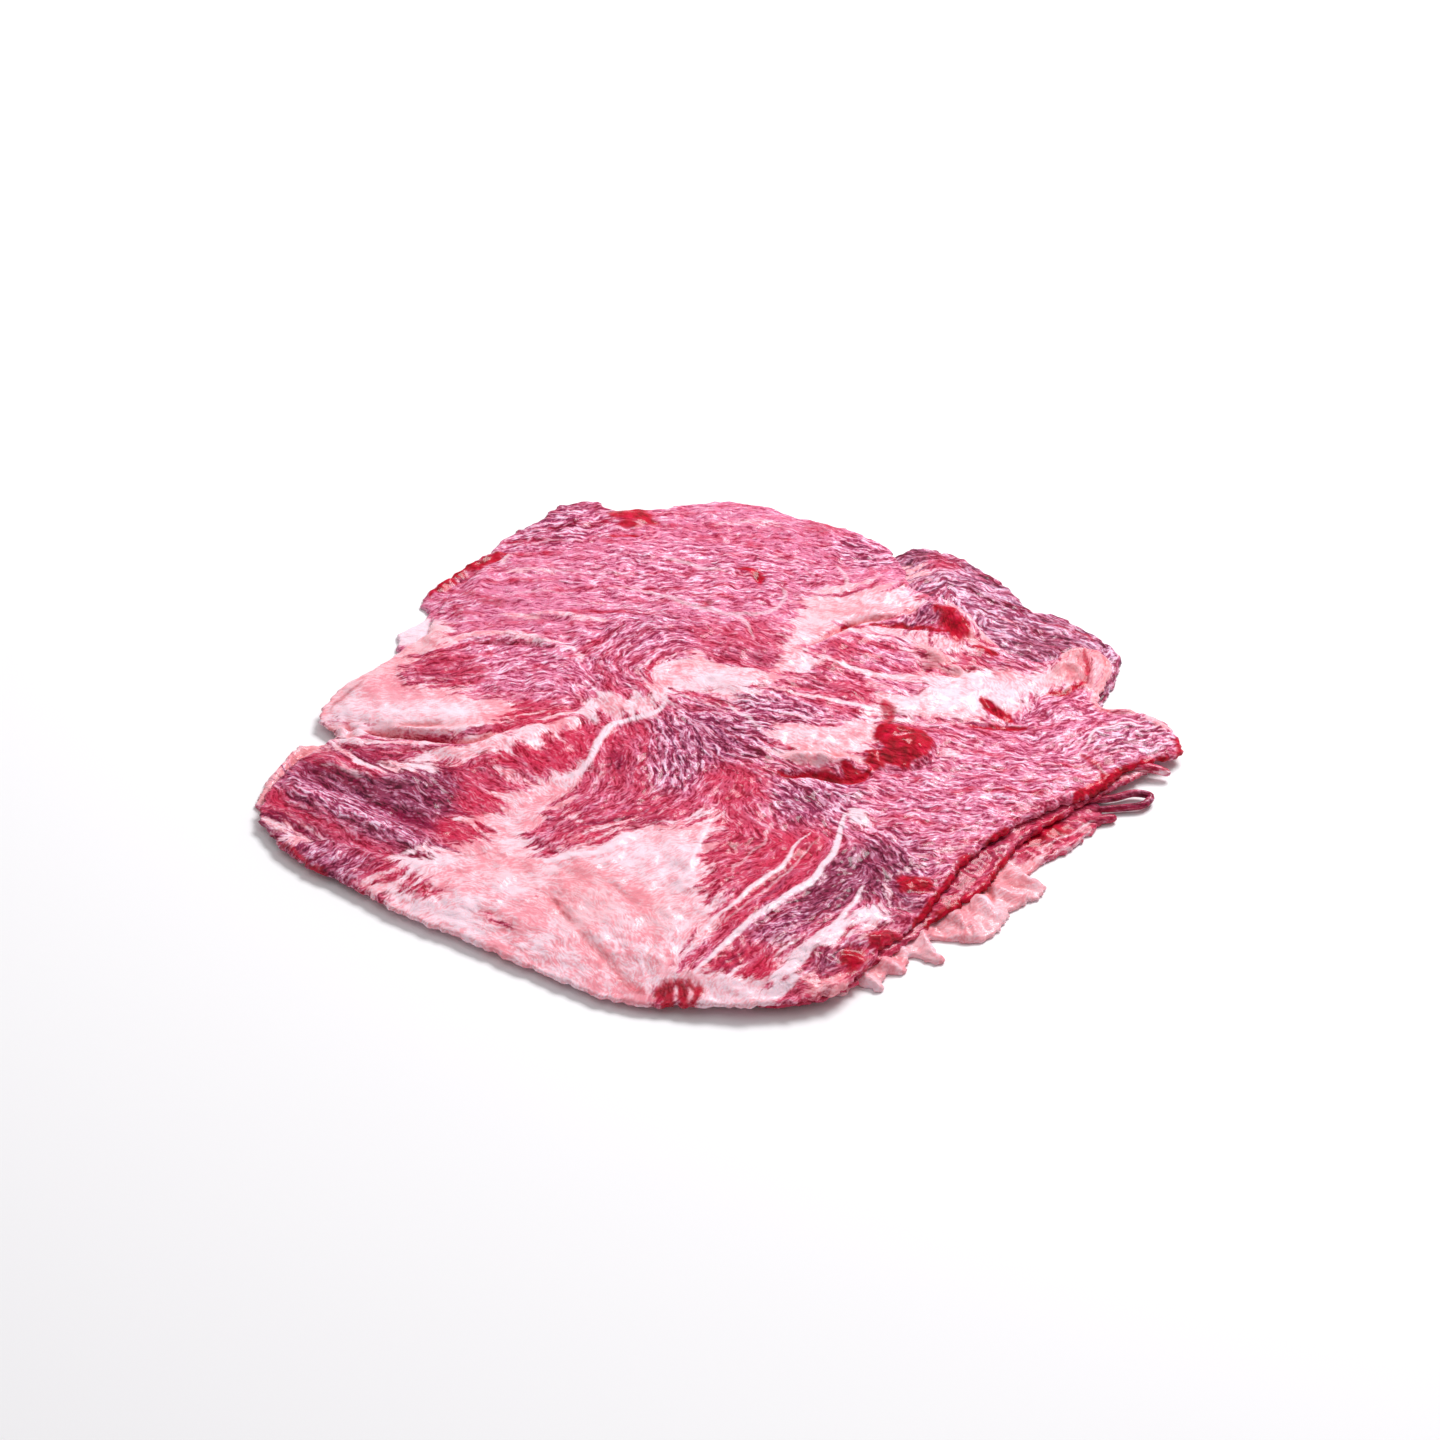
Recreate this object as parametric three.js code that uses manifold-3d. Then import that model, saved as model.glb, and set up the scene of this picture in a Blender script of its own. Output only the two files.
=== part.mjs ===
// Raw sliced beef: four thin, wide slices laid one over another, as they come off the slicer.
// Millimetres, +Z up, near side at -Y.
// The origin is the middle of the stack's footprint, on the surface that it lies on.
//
// Each slice is a slab between two height fields, cut to the slice's own ragged outline.
// A slice drapes over the ones below it: its underside is their upper surface plus a hair of air,
// and where nothing lies below, it rests on the surface itself.
// Curled rims, rolled flaps and lumps are fused on top, and creases and tears are cut in.

import * as THREE from "three";
import { mergeVertices } from "three/addons/utils/BufferGeometryUtils.js";
import Module from "manifold-3d";

const wasm = await Module();
wasm.setup();

// Driving dimensions
const SLICE_THICKNESS = 2; // how thin the beef is cut
const THICKNESS_SWELL = 0.3; // how much thicker or thinner it gets in places
const RIM = { share: 0.6, width: 7 }; // a slice's edge is this share as thick, and thins over this width
const LAYER_GAP = 0.32; // air between two slices
const DRAPE = { hold: 10.4, fall: 14 }; // past a lower slice's edge an upper one stays level, then sinks
const CELL = 7.2; // pitch of the height fields
const REACH = { x: 111.6, y: 104.4 }; // half the area that the height fields cover
const EDGE_STEP = 3.2; // spacing of the points along a ragged edge
const EDGE_WAVES = [
  { size: 0.5, turn: 0.23, phase: 1 },
  { size: 0.3, turn: 0.61, phase: 2.3 },
  { size: 0.25, turn: 1.37, phase: 5.1 },
]; // the raggedness of an edge: share of its size, radians per millimetre, share of the seed
const SWELL_TURN = { x: 0.071, y: 0.083, diagonal: 0.13 }; // radians per millimetre of the uneven thickness
const PRISM = { low: -6, high: 40 }; // heights that an outline's prism spans
const DRAWING_CENTRE = { x: 0.9, y: -6.6 }; // middle of the outlines as drawn below
const ROLL = { sides: 6, flatness: 0.55, end: 0.15, step: 2.3 }; // step: ring spacing by radius

const BEEF = {
  darkLean: new THREE.Color(0.36, 0.09, 0.14),
  redLean: new THREE.Color(0.62, 0.1, 0.15),
  pinkLean: new THREE.Color(0.72, 0.24, 0.3),
};

// In each slice below, the outline runs clockwise from the left end, seen from above.
// Waves swell the slice along a path, rolls are fused on top of it, creases are cut into it.
// A path follows the slice's upper surface, or a third number gives a point's own height.

const bottomSlice = {
  name: "slice_bottom",
  colour: BEEF.darkLean,
  raggedness: 0.6,
  seed: 3,
  outline: [
    // far right, where the dark lean shows
    [12, 40], [24, 53], [36.6, 62.6], [43, 67], [50.6, 65.4], [63.4, 54.4], [68.2, 45],
    [75, 43], [82, 37], [87.6, 29.6], [87.4, 21], [80, 0], [78, -14],
    // torn points at the right
    [79, -21], [82.5, -26], [80.6, -33], [74.6, -40],
    // fat frill along the near right edge
    [67, -46], [66, -50], [69.3, -51.2], [68.6, -55.5], [61.6, -60.4], [60.6, -64], [54.6, -71],
    [45.2, -70.4], [47.2, -77.6], [40.6, -76], [39.6, -81.4], [35.5, -82.6], [34.6, -87], [29, -85],
    [26, -89],
    // under the other slices
    [12, -84], [-9, -64], [-15, -38], [2, -12], [-5, 14],
  ],
  waves: [],
  rolls: [
    // looped sinew and torn point at the right
    {
      path: [
        [79, -24.6, 1.4], [85, -22.4, 1.3], [89.6, -20.6, 1.5],
        [93, -21.8, 1.6], [91, -24.4, 1.4], [81, -26.4, 1.1],
      ],
      radius: 1,
      flatness: 1,
    },
    { path: [[79.6, -30, 1.1], [85.4, -28.6, 1]], radius: 1, flatness: 1 },
    // pleats of the fat frill
    { path: [[61, -49], [64.5, -52], [68.6, -54.6]], radius: 2.2 },
    { path: [[58.5, -55.5], [62, -58], [64.8, -60]], radius: 2.2 },
    { path: [[55.5, -61], [57.5, -64.5], [58, -68.8]], radius: 2.4 },
    { path: [[51, -63.5], [52.8, -67], [53.2, -70.8]], radius: 2 },
    { path: [[42.5, -69], [44.5, -73], [46.6, -77]], radius: 2.2 },
    { path: [[38.5, -75], [38.4, -78.5], [37.5, -81.8]], radius: 1.9 },
    { path: [[31.5, -80.5], [32.5, -83.5], [33.8, -86.6]], radius: 1.8 },
  ],
  creases: [
    { path: [[65, -48.5], [69, -51]], radius: 0.8 },
    { path: [[56, -58], [61, -64.5]], radius: 0.8 },
    { path: [[49, -66], [50, -72]], radius: 0.8 },
  ],
};

const backSlice = {
  name: "slice_back",
  colour: BEEF.redLean,
  raggedness: 0.7,
  seed: 11,
  outline: [
    // white tip and curled left rim
    [-72.4, 29], [-67.4, 34.6], [-65, 38], [-67.4, 42], [-63, 50], [-52, 62], [-50.5, 66.5],
    // far edge
    [-42.6, 74.5], [-38, 79.6], [-30.5, 82], [-25.5, 79.4], [-12, 80.6], [0, 83.4], [8.6, 82], [16, 77.6],
    [30, 70.8], [36, 65.6], [38.4, 61],
    // under the other slices
    [43, 42], [35, 18], [12, -1], [-22, -7], [-50, 3], [-67, 17],
  ],
  waves: [{ path: [[-58, 50], [-46, 64], [-30, 70]], width: 5, height: 0.5 }],
  rolls: [
    { path: [[-65.4, 42.4], [-62, 48], [-56.6, 54.5], [-51, 60]], radius: 2.4 },
    { path: [[-28.5, 77], [-22, 76], [-16, 73.6]], radius: 3 },
    { path: [[-42, 72.4], [-38, 75.6], [-33, 78.4]], radius: 2 },
    { path: [[-49, 64.5], [-42, 67], [-33, 68]], radius: 2 },
  ],
  creases: [{ path: [[-46, 66], [-36, 69.5], [-31, 71.5]], radius: 0.8 }],
};

const middleSlice = {
  name: "slice_middle",
  colour: BEEF.redLean,
  raggedness: 0.7,
  seed: 23,
  outline: [
    // left point and thin rim
    [-98.8, -30], [-94, -17], [-90, -11], [-83.5, -9.6],
    // under the top slice
    [-52, 8], [-22, 18], [8, 27], [36, 30], [62, 22], [80, 8], [86, -2],
    // near right edge
    [92.5, -12.6], [88, -17.4], [81, -24.4], [66, -39], [57, -55], [43.5, -70], [32, -82.5], [28, -89],
    // near edge
    [16, -94], [-8, -92.5], [-34, -82.5], [-58, -67.5], [-79, -53.5], [-92, -40],
  ],
  waves: [{ path: [[88, -15], [74, -29], [62, -43], [47, -65]], width: 5, height: 0.5 }],
  rolls: [{ path: [[86, -13], [92, -13.2], [97.4, -14]], radius: 1, flatness: 1, lift: -1.1 }],
  creases: [{ path: [[80, -25.8], [70, -36], [63, -46.6], [54, -59]], radius: 0.7 }],
};

const topSlice = {
  name: "slice_top",
  colour: BEEF.pinkLean,
  raggedness: 0.6,
  seed: 41,
  outline: [
    // left lobe above the slit
    [-87, -3], [-85.4, 4.5], [-75, 15], [-71.4, 21.5], [-65.4, 28.5], [-63.4, 37], [-54, 52.8], [-45, 58.6],
    // far edge
    [-33, 61], [-27, 65], [-12, 65], [0, 64.4], [9, 61.4], [22, 56], [40, 47.6], [45.5, 42.6],
    // right edge, past the rolled flap
    [51, 39.4], [60, 27], [66.6, 21], [72, 20.6], [76, 24.6], [83.6, 26], [86, 20], [82.8, 11], [83.6, 6],
    [90, 5], [96, 2], [99.8, -4.4], [99.4, -9], [94, -12.2], [86.6, -17.2], [79.4, -25.4], [62.4, -38],
    [51, -53.6], [40.8, -71.6], [34.4, -78.6], [30, -85.6], [24.5, -92.6],
    // near edge
    [8, -96], [-12, -95.6], [-26, -91.6], [-42.4, -81.4], [-60.4, -71.2], [-77.4, -59.4], [-88.6, -50.8],
    [-95.8, -42], [-97.8, -36],
    // left end and the mouth of the slit
    [-95.4, -27], [-91.4, -19], [-86.6, -13.4], [-83, -8.8],
  ],
  waves: [
    // ridges in the lean at the left
    { path: [[-95, -31], [-80, -42], [-64, -53]], width: 5, height: 0.7 },
    { path: [[-88, -18], [-74, -26], [-58, -37]], width: 5, height: 0.6 },
    // lip of the upper left lobe and puffs of fat
    { path: [[-83, -5], [-70, -6], [-57, -7]], width: 5, height: 0.9 },
    { path: [[-9, 8], [4, 14]], width: 6, height: 0.7 },
    { path: [[14, -10], [32, -12]], width: 6, height: 0.8 },
    { path: [[34, 12], [52, 8], [66, 12]], width: 6, height: 0.6 },
    // fold at the far right, and the raised near right edge
    { path: [[38, 36], [50, 33], [60, 25]], width: 5, height: 0.9 },
    { path: [[84, -17], [74, -29], [60, -41], [48, -57], [38, -73]], width: 4.6, height: 0.7 },
    // swell of the fat at the near left
    { path: [[-56, -58], [-34, -70], [-20, -80]], width: 10, height: 0.6 },
  ],
  rolls: [
    // rolled flap and rim on the right
    { path: [[83.4, 12.4], [84.4, 17], [84, 22.6], [80, 24], [76.8, 22.4]], radius: 2.6, flatness: 0.9 },
    { path: [[73.4, 21.4], [75, 17.8], [78.6, 15.6], [80.6, 18.4]], radius: 1.8, flatness: 0.9 },
    { path: [[83, 6], [87, 4], [91, 4], [95, 0.4]], radius: 2 },
    // folded ridge at the far right
    { path: [[40, 38], [46, 37.4], [51, 35], [54.5, 30.5], [60, 26.4]], radius: 3 },
    { path: [[42, 22.4], [45.5, 19.6], [47.8, 16.6], [51.4, 14]], radius: 2.2 },
    { path: [[55, 8], [58.6, 5.6], [61.6, 1.4]], radius: 1.8 },
    // torn lumps in the middle
    { path: [[35.6, -2], [36, -7.5], [40.5, -11.8], [45, -8.4]], radius: 3, flatness: 0.7 },
    { path: [[18.5, -18], [23.5, -20.6], [29, -20.4], [33, -16.6]], radius: 2.6 },
    // crumpled scraps at the slit and curled rims
    { path: [[-82.6, -11.6], [-79.5, -10], [-76, -8.8], [-73.4, -10]], radius: 1.8 },
    { path: [[-84.6, -4.4], [-74, -5.6], [-62, -7.2], [-50, -5]], radius: 2.2 },
    { path: [[-63.4, 35], [-62.4, 41], [-58.8, 47], [-51, 54.4]], radius: 2 },
    { path: [[-31, 59.6], [-25, 62.4], [-17, 62.8]], radius: 2.2 },
    { path: [[36, -58], [41, -55.6], [45, -57.6], [42.5, -63], [38, -66]], radius: 2 },
    { path: [[30.5, -75.4], [35, -74.4], [38.4, -76.4]], radius: 2.4 },
    { path: [[74, -27], [64, -35.6], [57, -43.5], [51, -52.4]], radius: 2 },
    { path: [[-30, -90], [-12, -94], [6, -94.6]], radius: 2.2 },
    // folds in the lean at the left
    { path: [[-95, -30], [-88, -36.5], [-78, -43], [-68, -50]], radius: 3.2 },
    { path: [[-88, -17], [-80, -22], [-70, -27.6], [-58, -36]], radius: 3.2 },
  ],
  creases: [
    // slit between the left lobes, and tear in the middle
    { path: [[-86, -8.6], [-76, -9.4], [-62, -11.2], [-47, -8.6]], radius: 1.3, flatness: 1 },
    { path: [[12, -22.5], [22, -23.4], [31, -23], [35.5, -18]], radius: 1.2, flatness: 1 },
    // fold at the far right, nick in the fat, and valley between the left ridges
    { path: [[18.5, 23], [27, 28.8], [34, 32.2], [41, 35.2]], radius: 0.9 },
    { path: [[57, 6], [61, 0.5]], radius: 0.9 },
    { path: [[-92, -24], [-78, -33.6], [-64, -43]], radius: 1 },
  ],
};

const SLICES = [bottomSlice, backSlice, middleSlice, topSlice]; // lowest first

// A drawn point in the part's own frame.
const drawn = ([x, y]) => new THREE.Vector2(x - DRAWING_CENTRE.x, y - DRAWING_CENTRE.y);

// A smooth, repeatable wobble along an edge, between about -1 and 1.
function wobble(distance, seed) {
  const waves = EDGE_WAVES.map(({ size, turn, phase }) => size * Math.sin(distance * turn + seed * phase));
  return waves.reduce((sum, wave) => sum + wave, 0);
}

// The same over an area, for the uneven thickness.
function swell(x, y, seed) {
  const patches = Math.sin(x * SWELL_TURN.x + seed) * Math.cos(y * SWELL_TURN.y - seed);
  const bands = Math.sin((x + y) * SWELL_TURN.diagonal + seed * 3);
  return 0.6 * patches + 0.4 * bands;
}

// The closed outline: a smooth curve through the drawn points, roughened across its direction and grown.
function raggedOutline({ outline, raggedness, seed }, grow = 0) {
  const points = outline.map((point) => new THREE.Vector3(...drawn(point), 0));
  const curve = new THREE.CatmullRomCurve3(points, true, "centripetal");
  const count = Math.round(curve.getLength() / EDGE_STEP);
  const ragged = [];
  for (let i = 0; i < count; i++) {
    const point = curve.getPointAt(i / count);
    const tangent = curve.getTangentAt(i / count);
    const shift = grow + raggedness * wobble(i * EDGE_STEP, seed);
    ragged.push(new THREE.Vector2(point.x - tangent.y * shift, point.y + tangent.x * shift));
  }
  return ragged;
}

// Distance of a point from the line between two others.
function distanceToLine(x, y, a, b) {
  const dx = b.x - a.x;
  const dy = b.y - a.y;
  const t = THREE.MathUtils.clamp(((x - a.x) * dx + (y - a.y) * dy) / (dx * dx + dy * dy), 0, 1);
  return Math.hypot(x - a.x - t * dx, y - a.y - t * dy);
}

// Distance of a point from an outline, positive inside.
function depthInside(x, y, outline) {
  let nearest = Infinity;
  let inside = false;
  outline.forEach((b, i) => {
    const a = outline.at(i - 1);
    nearest = Math.min(nearest, distanceToLine(x, y, a, b));
    if (a.y > y !== b.y > y && x < ((b.x - a.x) * (y - a.y)) / (b.y - a.y) + a.x) inside = !inside;
  });
  return inside ? nearest : -nearest;
}

// How much a slice's waves thicken it at a point.
function waveHeight(x, y, waves) {
  let sum = 0;
  for (const { path, width, height } of waves) {
    const line = path.map(drawn);
    const distance = Math.min(...line.slice(1).map((b, i) => distanceToLine(x, y, line[i], b)));
    sum += height * Math.exp(-((distance / width) ** 2));
  }
  return sum;
}

// How thick a slice is at a point that lies this deep inside its outline.
function thicknessAt(x, y, depth, slice) {
  const full = SLICE_THICKNESS + THICKNESS_SWELL * swell(x, y, slice.seed) + waveHeight(x, y, slice.waves);
  return full * THREE.MathUtils.lerp(RIM.share, 1, THREE.MathUtils.smoothstep(depth, 0, RIM.width));
}

// How far a slice holds up what lies over it, from 1 on and near it to 0 past its drape.
function support(depth) {
  return 1 - THREE.MathUtils.smoothstep(-depth, DRAPE.hold, DRAPE.hold + DRAPE.fall);
}

const COLUMNS = Math.round((2 * REACH.x) / CELL) + 1;
const ROWS = Math.round((2 * REACH.y) / CELL) + 1;
const columnX = (k) => -REACH.x + (k % COLUMNS) * CELL;
const rowY = (k) => -REACH.y + Math.floor(k / COLUMNS) * CELL;

// A height field: one number for each grid point.
function field(rule) {
  return Float64Array.from({ length: COLUMNS * ROWS }, (_, k) => rule(columnX(k), rowY(k), k));
}

// A field's height between its grid points.
function heightAt(heights, { x, y }) {
  const u = (x + REACH.x) / CELL;
  const v = (y + REACH.y) / CELL;
  const corner = Math.floor(v) * COLUMNS + Math.floor(u);
  const near = THREE.MathUtils.lerp(heights[corner], heights[corner + 1], u % 1);
  const far = THREE.MathUtils.lerp(heights[corner + COLUMNS], heights[corner + COLUMNS + 1], u % 1);
  return THREE.MathUtils.lerp(near, far, v % 1);
}

function solid(positions, triangles) {
  const vertProperties = Float32Array.from(positions);
  const triVerts = Uint32Array.from(triangles);
  return new wasm.Manifold(new wasm.Mesh({ numProp: 3, vertProperties, triVerts }));
}

// Everything inside an outline, between the prism's heights.
function prismOf(outline) {
  const depth = PRISM.high - PRISM.low;
  const geometry = new THREE.ExtrudeGeometry(new THREE.Shape(outline), { depth, bevelEnabled: false });
  geometry.translate(0, 0, PRISM.low);
  geometry.deleteAttribute("normal");
  geometry.deleteAttribute("uv");
  const merged = mergeVertices(geometry);
  return solid(merged.attributes.position.array, merged.index.array);
}

// The grid points around a field's border, in order.
function borderPoints() {
  const border = [];
  for (let i = 0; i < COLUMNS - 1; i++) border.push(i);
  for (let j = 0; j < ROWS - 1; j++) border.push(j * COLUMNS + COLUMNS - 1);
  for (let i = COLUMNS - 1; i > 0; i--) border.push((ROWS - 1) * COLUMNS + i);
  for (let j = ROWS - 1; j > 0; j--) border.push(j * COLUMNS);
  return border;
}

// A block with the height field on one side and a flat face at the given height on the other.
function fieldBlock(heights, flat) {
  const positions = [];
  const triangles = [];
  const fieldOnTop = flat < heights[0];
  const add = (a, b, c) => triangles.push(...(fieldOnTop ? [a, b, c] : [a, c, b]));
  heights.forEach((z, k) => positions.push(columnX(k), rowY(k), z));
  for (let k = 0; k < (ROWS - 1) * COLUMNS; k++) {
    if (k % COLUMNS === COLUMNS - 1) continue;
    add(k, k + 1, k + COLUMNS + 1);
    add(k, k + COLUMNS + 1, k + COLUMNS);
  }
  const border = borderPoints();
  const first = heights.length;
  const middle = first + border.length;
  border.forEach((k) => positions.push(columnX(k), rowY(k), flat));
  positions.push(0, 0, flat);
  border.forEach((k, n) => {
    const m = (n + 1) % border.length;
    add(k, first + n, border[m]);
    add(border[m], first + n, first + m);
    add(first + m, first + n, middle);
  });
  return solid(positions, triangles);
}

// A soft roll along a path, flattened, thick in the middle and closed to a point at both ends.
function roll({ path, radius, flatness = ROLL.flatness, lift = 0 }, heights) {
  const curve = new THREE.CatmullRomCurve3(
    path.map(([x, y, z]) => {
      const point = drawn([x, y]);
      return new THREE.Vector3(point.x, point.y, z ?? heightAt(heights, point) + lift);
    }),
  );
  const rings = Math.max(3, Math.round(curve.getLength() / (ROLL.step * radius)));
  const positions = [];
  const triangles = [];
  for (let i = 0; i < rings; i++) {
    const along = (i + 0.7) / (rings + 0.4);
    const tangent = curve.getTangentAt(along);
    const side = new THREE.Vector3(-tangent.y, tangent.x, 0).normalize();
    const up = new THREE.Vector3().crossVectors(tangent, side);
    const size = radius * THREE.MathUtils.lerp(ROLL.end, 1, Math.sin(Math.PI * along) ** 0.8);
    for (let s = 0; s < ROLL.sides; s++) {
      const turn = (2 * Math.PI * s) / ROLL.sides;
      const point = curve.getPointAt(along);
      point.addScaledVector(side, size * Math.cos(turn));
      point.addScaledVector(up, size * flatness * Math.sin(turn));
      positions.push(...point);
    }
  }
  const start = rings * ROLL.sides;
  positions.push(...curve.getPointAt(0), ...curve.getPointAt(1));
  for (let s = 0; s < ROLL.sides; s++) {
    const next = (s + 1) % ROLL.sides;
    const last = start - ROLL.sides;
    triangles.push(start, next, s);
    triangles.push(start + 1, last + s, last + next);
    for (let a = 0; a < last; a += ROLL.sides) {
      const b = a + ROLL.sides;
      triangles.push(a + s, a + next, b + next);
      triangles.push(a + s, b + next, b + s);
    }
  }
  return solid(positions, triangles);
}

// One slice's solid between its underside and its upper surface.
function sliceSolid(slice, underside, top, slicesAbove) {
  let made = prismOf(raggedOutline(slice)).intersect(fieldBlock(top, PRISM.low));
  for (const each of slice.rolls) made = made.add(roll(each, top));
  made = made.intersect(fieldBlock(underside, PRISM.high));
  // a roll ends where a higher slice presses on it
  for (const above of slicesAbove) {
    const pressed = prismOf(raggedOutline(above, LAYER_GAP)).intersect(fieldBlock(top, PRISM.high));
    made = made.subtract(pressed);
  }
  for (const each of slice.creases) made = made.subtract(roll(each, top));
  return made;
}

function meshOf(made, { name, colour }) {
  const { vertProperties, triVerts } = made.getMesh();
  const geometry = new THREE.BufferGeometry();
  geometry.setAttribute("position", new THREE.BufferAttribute(vertProperties, 3));
  geometry.setIndex(new THREE.BufferAttribute(triVerts, 1));
  geometry.computeVertexNormals();
  const mesh = new THREE.Mesh(geometry, new THREE.MeshStandardMaterial({ color: colour, roughness: 0.35 }));
  mesh.name = name;
  return mesh;
}

const group = new THREE.Group();
let below = field(() => 0);

SLICES.forEach((slice, order) => {
  const outline = raggedOutline(slice);
  const underside = below.map((z) => z + Math.min(LAYER_GAP, z));
  const top = field((x, y, k) => {
    const depth = depthInside(x, y, outline);
    const laid = underside[k] + thicknessAt(x, y, depth, slice);
    return THREE.MathUtils.lerp(below[k], laid, support(depth));
  });
  group.add(meshOf(sliceSolid(slice, underside, top, SLICES.slice(order + 1)), slice));
  below = top;
});

export default group;
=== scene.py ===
"""Looks of a loose fan of thin slices of raw, strongly marbled beef.

Every slice of the part gets a fine closed mesh in the place of its plain solid. Its surface is laid
out from named features: muscles, fat, seams, folds and lumps. Lengths are in millimetres until a mesh
is made.
"""

import logging
import math
from dataclasses import dataclass, field
from enum import Enum

import bpy
import numpy as np
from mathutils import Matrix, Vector
from mathutils.geometry import delaunay_2d_cdt

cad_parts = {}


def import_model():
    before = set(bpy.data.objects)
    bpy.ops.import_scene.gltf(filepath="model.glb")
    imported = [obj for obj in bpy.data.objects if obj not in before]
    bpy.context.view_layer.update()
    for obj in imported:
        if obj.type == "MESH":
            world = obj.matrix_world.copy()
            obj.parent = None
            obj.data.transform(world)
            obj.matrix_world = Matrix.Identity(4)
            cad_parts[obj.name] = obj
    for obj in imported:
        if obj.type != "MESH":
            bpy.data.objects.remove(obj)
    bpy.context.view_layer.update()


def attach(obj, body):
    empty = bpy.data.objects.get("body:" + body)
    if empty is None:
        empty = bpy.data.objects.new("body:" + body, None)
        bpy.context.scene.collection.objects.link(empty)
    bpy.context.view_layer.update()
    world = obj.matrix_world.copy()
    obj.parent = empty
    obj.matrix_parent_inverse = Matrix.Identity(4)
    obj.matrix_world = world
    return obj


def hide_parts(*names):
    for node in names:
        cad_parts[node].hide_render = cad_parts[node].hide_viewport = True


Array = np.ndarray
Path = list[tuple[float, float]]

METRES = 0.001  # metres in a millimetre
BODY = "root"

DRAWING_CENTRE = (0.9, -6.6)  # middle of the outlines as drawn
LAYOUT_HEIGHT = 5.5  # features are laid out on the level plane at this height, seen from the front
LAYOUT_SLOPE = 1.285  # how much nearer a feature lies for every millimetre that it is above that plane

SLICE_THICKNESS = 2.0
THICKNESS_SWELL = 0.3  # how much the thickness varies
RIM_SHARE = 0.6  # thickness at the rim, as a share
RIM_WIDTH = 7.0  # how far in the slice is thinner
RIM_WAVES = ((0.5, 0.23, 1.0), (0.3, 0.61, 2.3), (0.25, 1.37, 5.1))  # size, turn per mm, phase per seed
RIM_TEETH = ((2.6, 0.3), (1.3, 0.1))  # wavelength, size
LAYER_GAP = 0.32  # between one slice and the next
DRAPE_HOLD = 10.4  # how far past its rim the pile keeps a slice's height
DRAPE_FALL = 14.0  # over what length the height then dies away

log = logging.getLogger("beef")


class Kind(Enum):
    """What a feature of the surface changes."""

    FAT = "fat"  # lean to fat
    WHITE = "white"  # sinew and bright fat
    MILK = "milk"  # pale flecks over lean
    DARK = "dark"  # red to purple lean
    RED = "red"  # wet, bright red
    SALMON = "salmon"  # warm tint of fat
    FIBRE = "fibre"  # how strongly the fibre bundles stand out


def levels(**given: float) -> dict[Kind, float]:
    """Levels by the kinds' own words."""
    return {Kind(word): value for word, value in given.items()}


# how each kind is softened: radius of the blur, length of the smear along the grain, share of the smear
SOFTENING = {Kind.DARK: (0.8, 4.5, 0.6), Kind.MILK: (0.7, 3.0, 0.5), Kind.FIBRE: (1.4, 3.0, 0.5),
             Kind.FAT: (0.2, 4.0, 0.32), Kind.SALMON: (0.5, 3.0, 0.3)}


class Shade(Enum):
    """What the surface shows in a place, as levels of the kinds that it sets."""

    ROSE = levels(fat=0.0, white=0.0, dark=0.08, milk=0.55, fibre=0.55)
    PINK = levels(fat=0.0, white=0.0, dark=0.1, milk=1.0, fibre=0.6)
    SOFT_PINK = levels(fat=0.0, white=0.0, dark=0.12, milk=0.95, fibre=0.3)
    SCARLET = levels(fat=0.0, white=0.0, dark=0.0, milk=0.0, fibre=0.3)
    CRIMSON = levels(fat=0.0, white=0.0, dark=0.2, milk=0.12, fibre=0.4)
    MAROON = levels(fat=0.0, white=0.0, dark=0.75, milk=0.0, fibre=0.2)
    PURPLE = levels(fat=0.0, white=0.0, dark=0.9, milk=0.15, fibre=0.5)
    LILAC = levels(fat=0.0, white=0.0, dark=0.5, milk=0.75, fibre=1.0)
    # crinkled lean whose pale crinkles are partly painted sheen
    CRINKLED_SHEEN = levels(dark=0.5, milk=0.9, fibre=1.0)
    FAT = levels(fat=1.0, red=0.0)
    PALE_FAT = levels(fat=1.0, white=0.4, red=0.0)
    THIN_FAT = levels(fat=0.6)
    SALMON = levels(fat=1.0, salmon=0.9, white=0.0)
    BLUSH = levels(salmon=0.45)
    # sinew, also used for painted highlights
    SINEW_AND_HIGHLIGHT = levels(white=0.95)
    THIN_SINEW = levels(white=0.6)
    SEAM = levels(white=0.5, dark=0.1)
    WET = levels(red=0.92, fat=0.0, white=0.0)
    # stains of juice, also used for painted shade and painted shadow lines
    STAIN_AND_SHADE = levels(red=0.4)
    FAINT_STAIN_AND_SHADE = levels(red=0.2)


@dataclass(frozen=True)
class Patch:
    """An area that takes one shade."""

    shade: Shade
    outline: Path
    soft: float = 1.4
    share: float = 1.0
    ragged: float = 1.0


@dataclass(frozen=True)
class Streak:
    """A line that takes one shade, and thins out at its ends."""

    shade: Shade
    path: Path
    width: float
    ragged: float = 0.5
    share: float = 1.0


@dataclass(frozen=True)
class Fold:
    """A ridge, or with a negative height a groove, along a path."""

    path: Path
    width: float
    height: float


@dataclass(frozen=True)
class Lump:
    """A rounded rise, or with a negative height a hollow."""

    centre: tuple[float, float]
    radii: tuple[float, float]
    height: float
    turn: float = 0.0


@dataclass(frozen=True)
class Strand:
    """A rolled rim, sinew or torn point: a tube along a path."""

    path: list[tuple[float, float, float]]
    radius: float
    tip: float = 0.45


def smooth(value: Array, low: float, high: float) -> Array:
    """Smooth step of value from 0 at low to 1 at high."""
    t = np.clip((value - low) / (high - low), 0.0, 1.0)
    return t * t * (3.0 - 2.0 * t)


def lerp(a: Array, b: Array, t: Array) -> Array:
    """Mix of a and b by t."""
    return a + (b - a) * t


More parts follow.
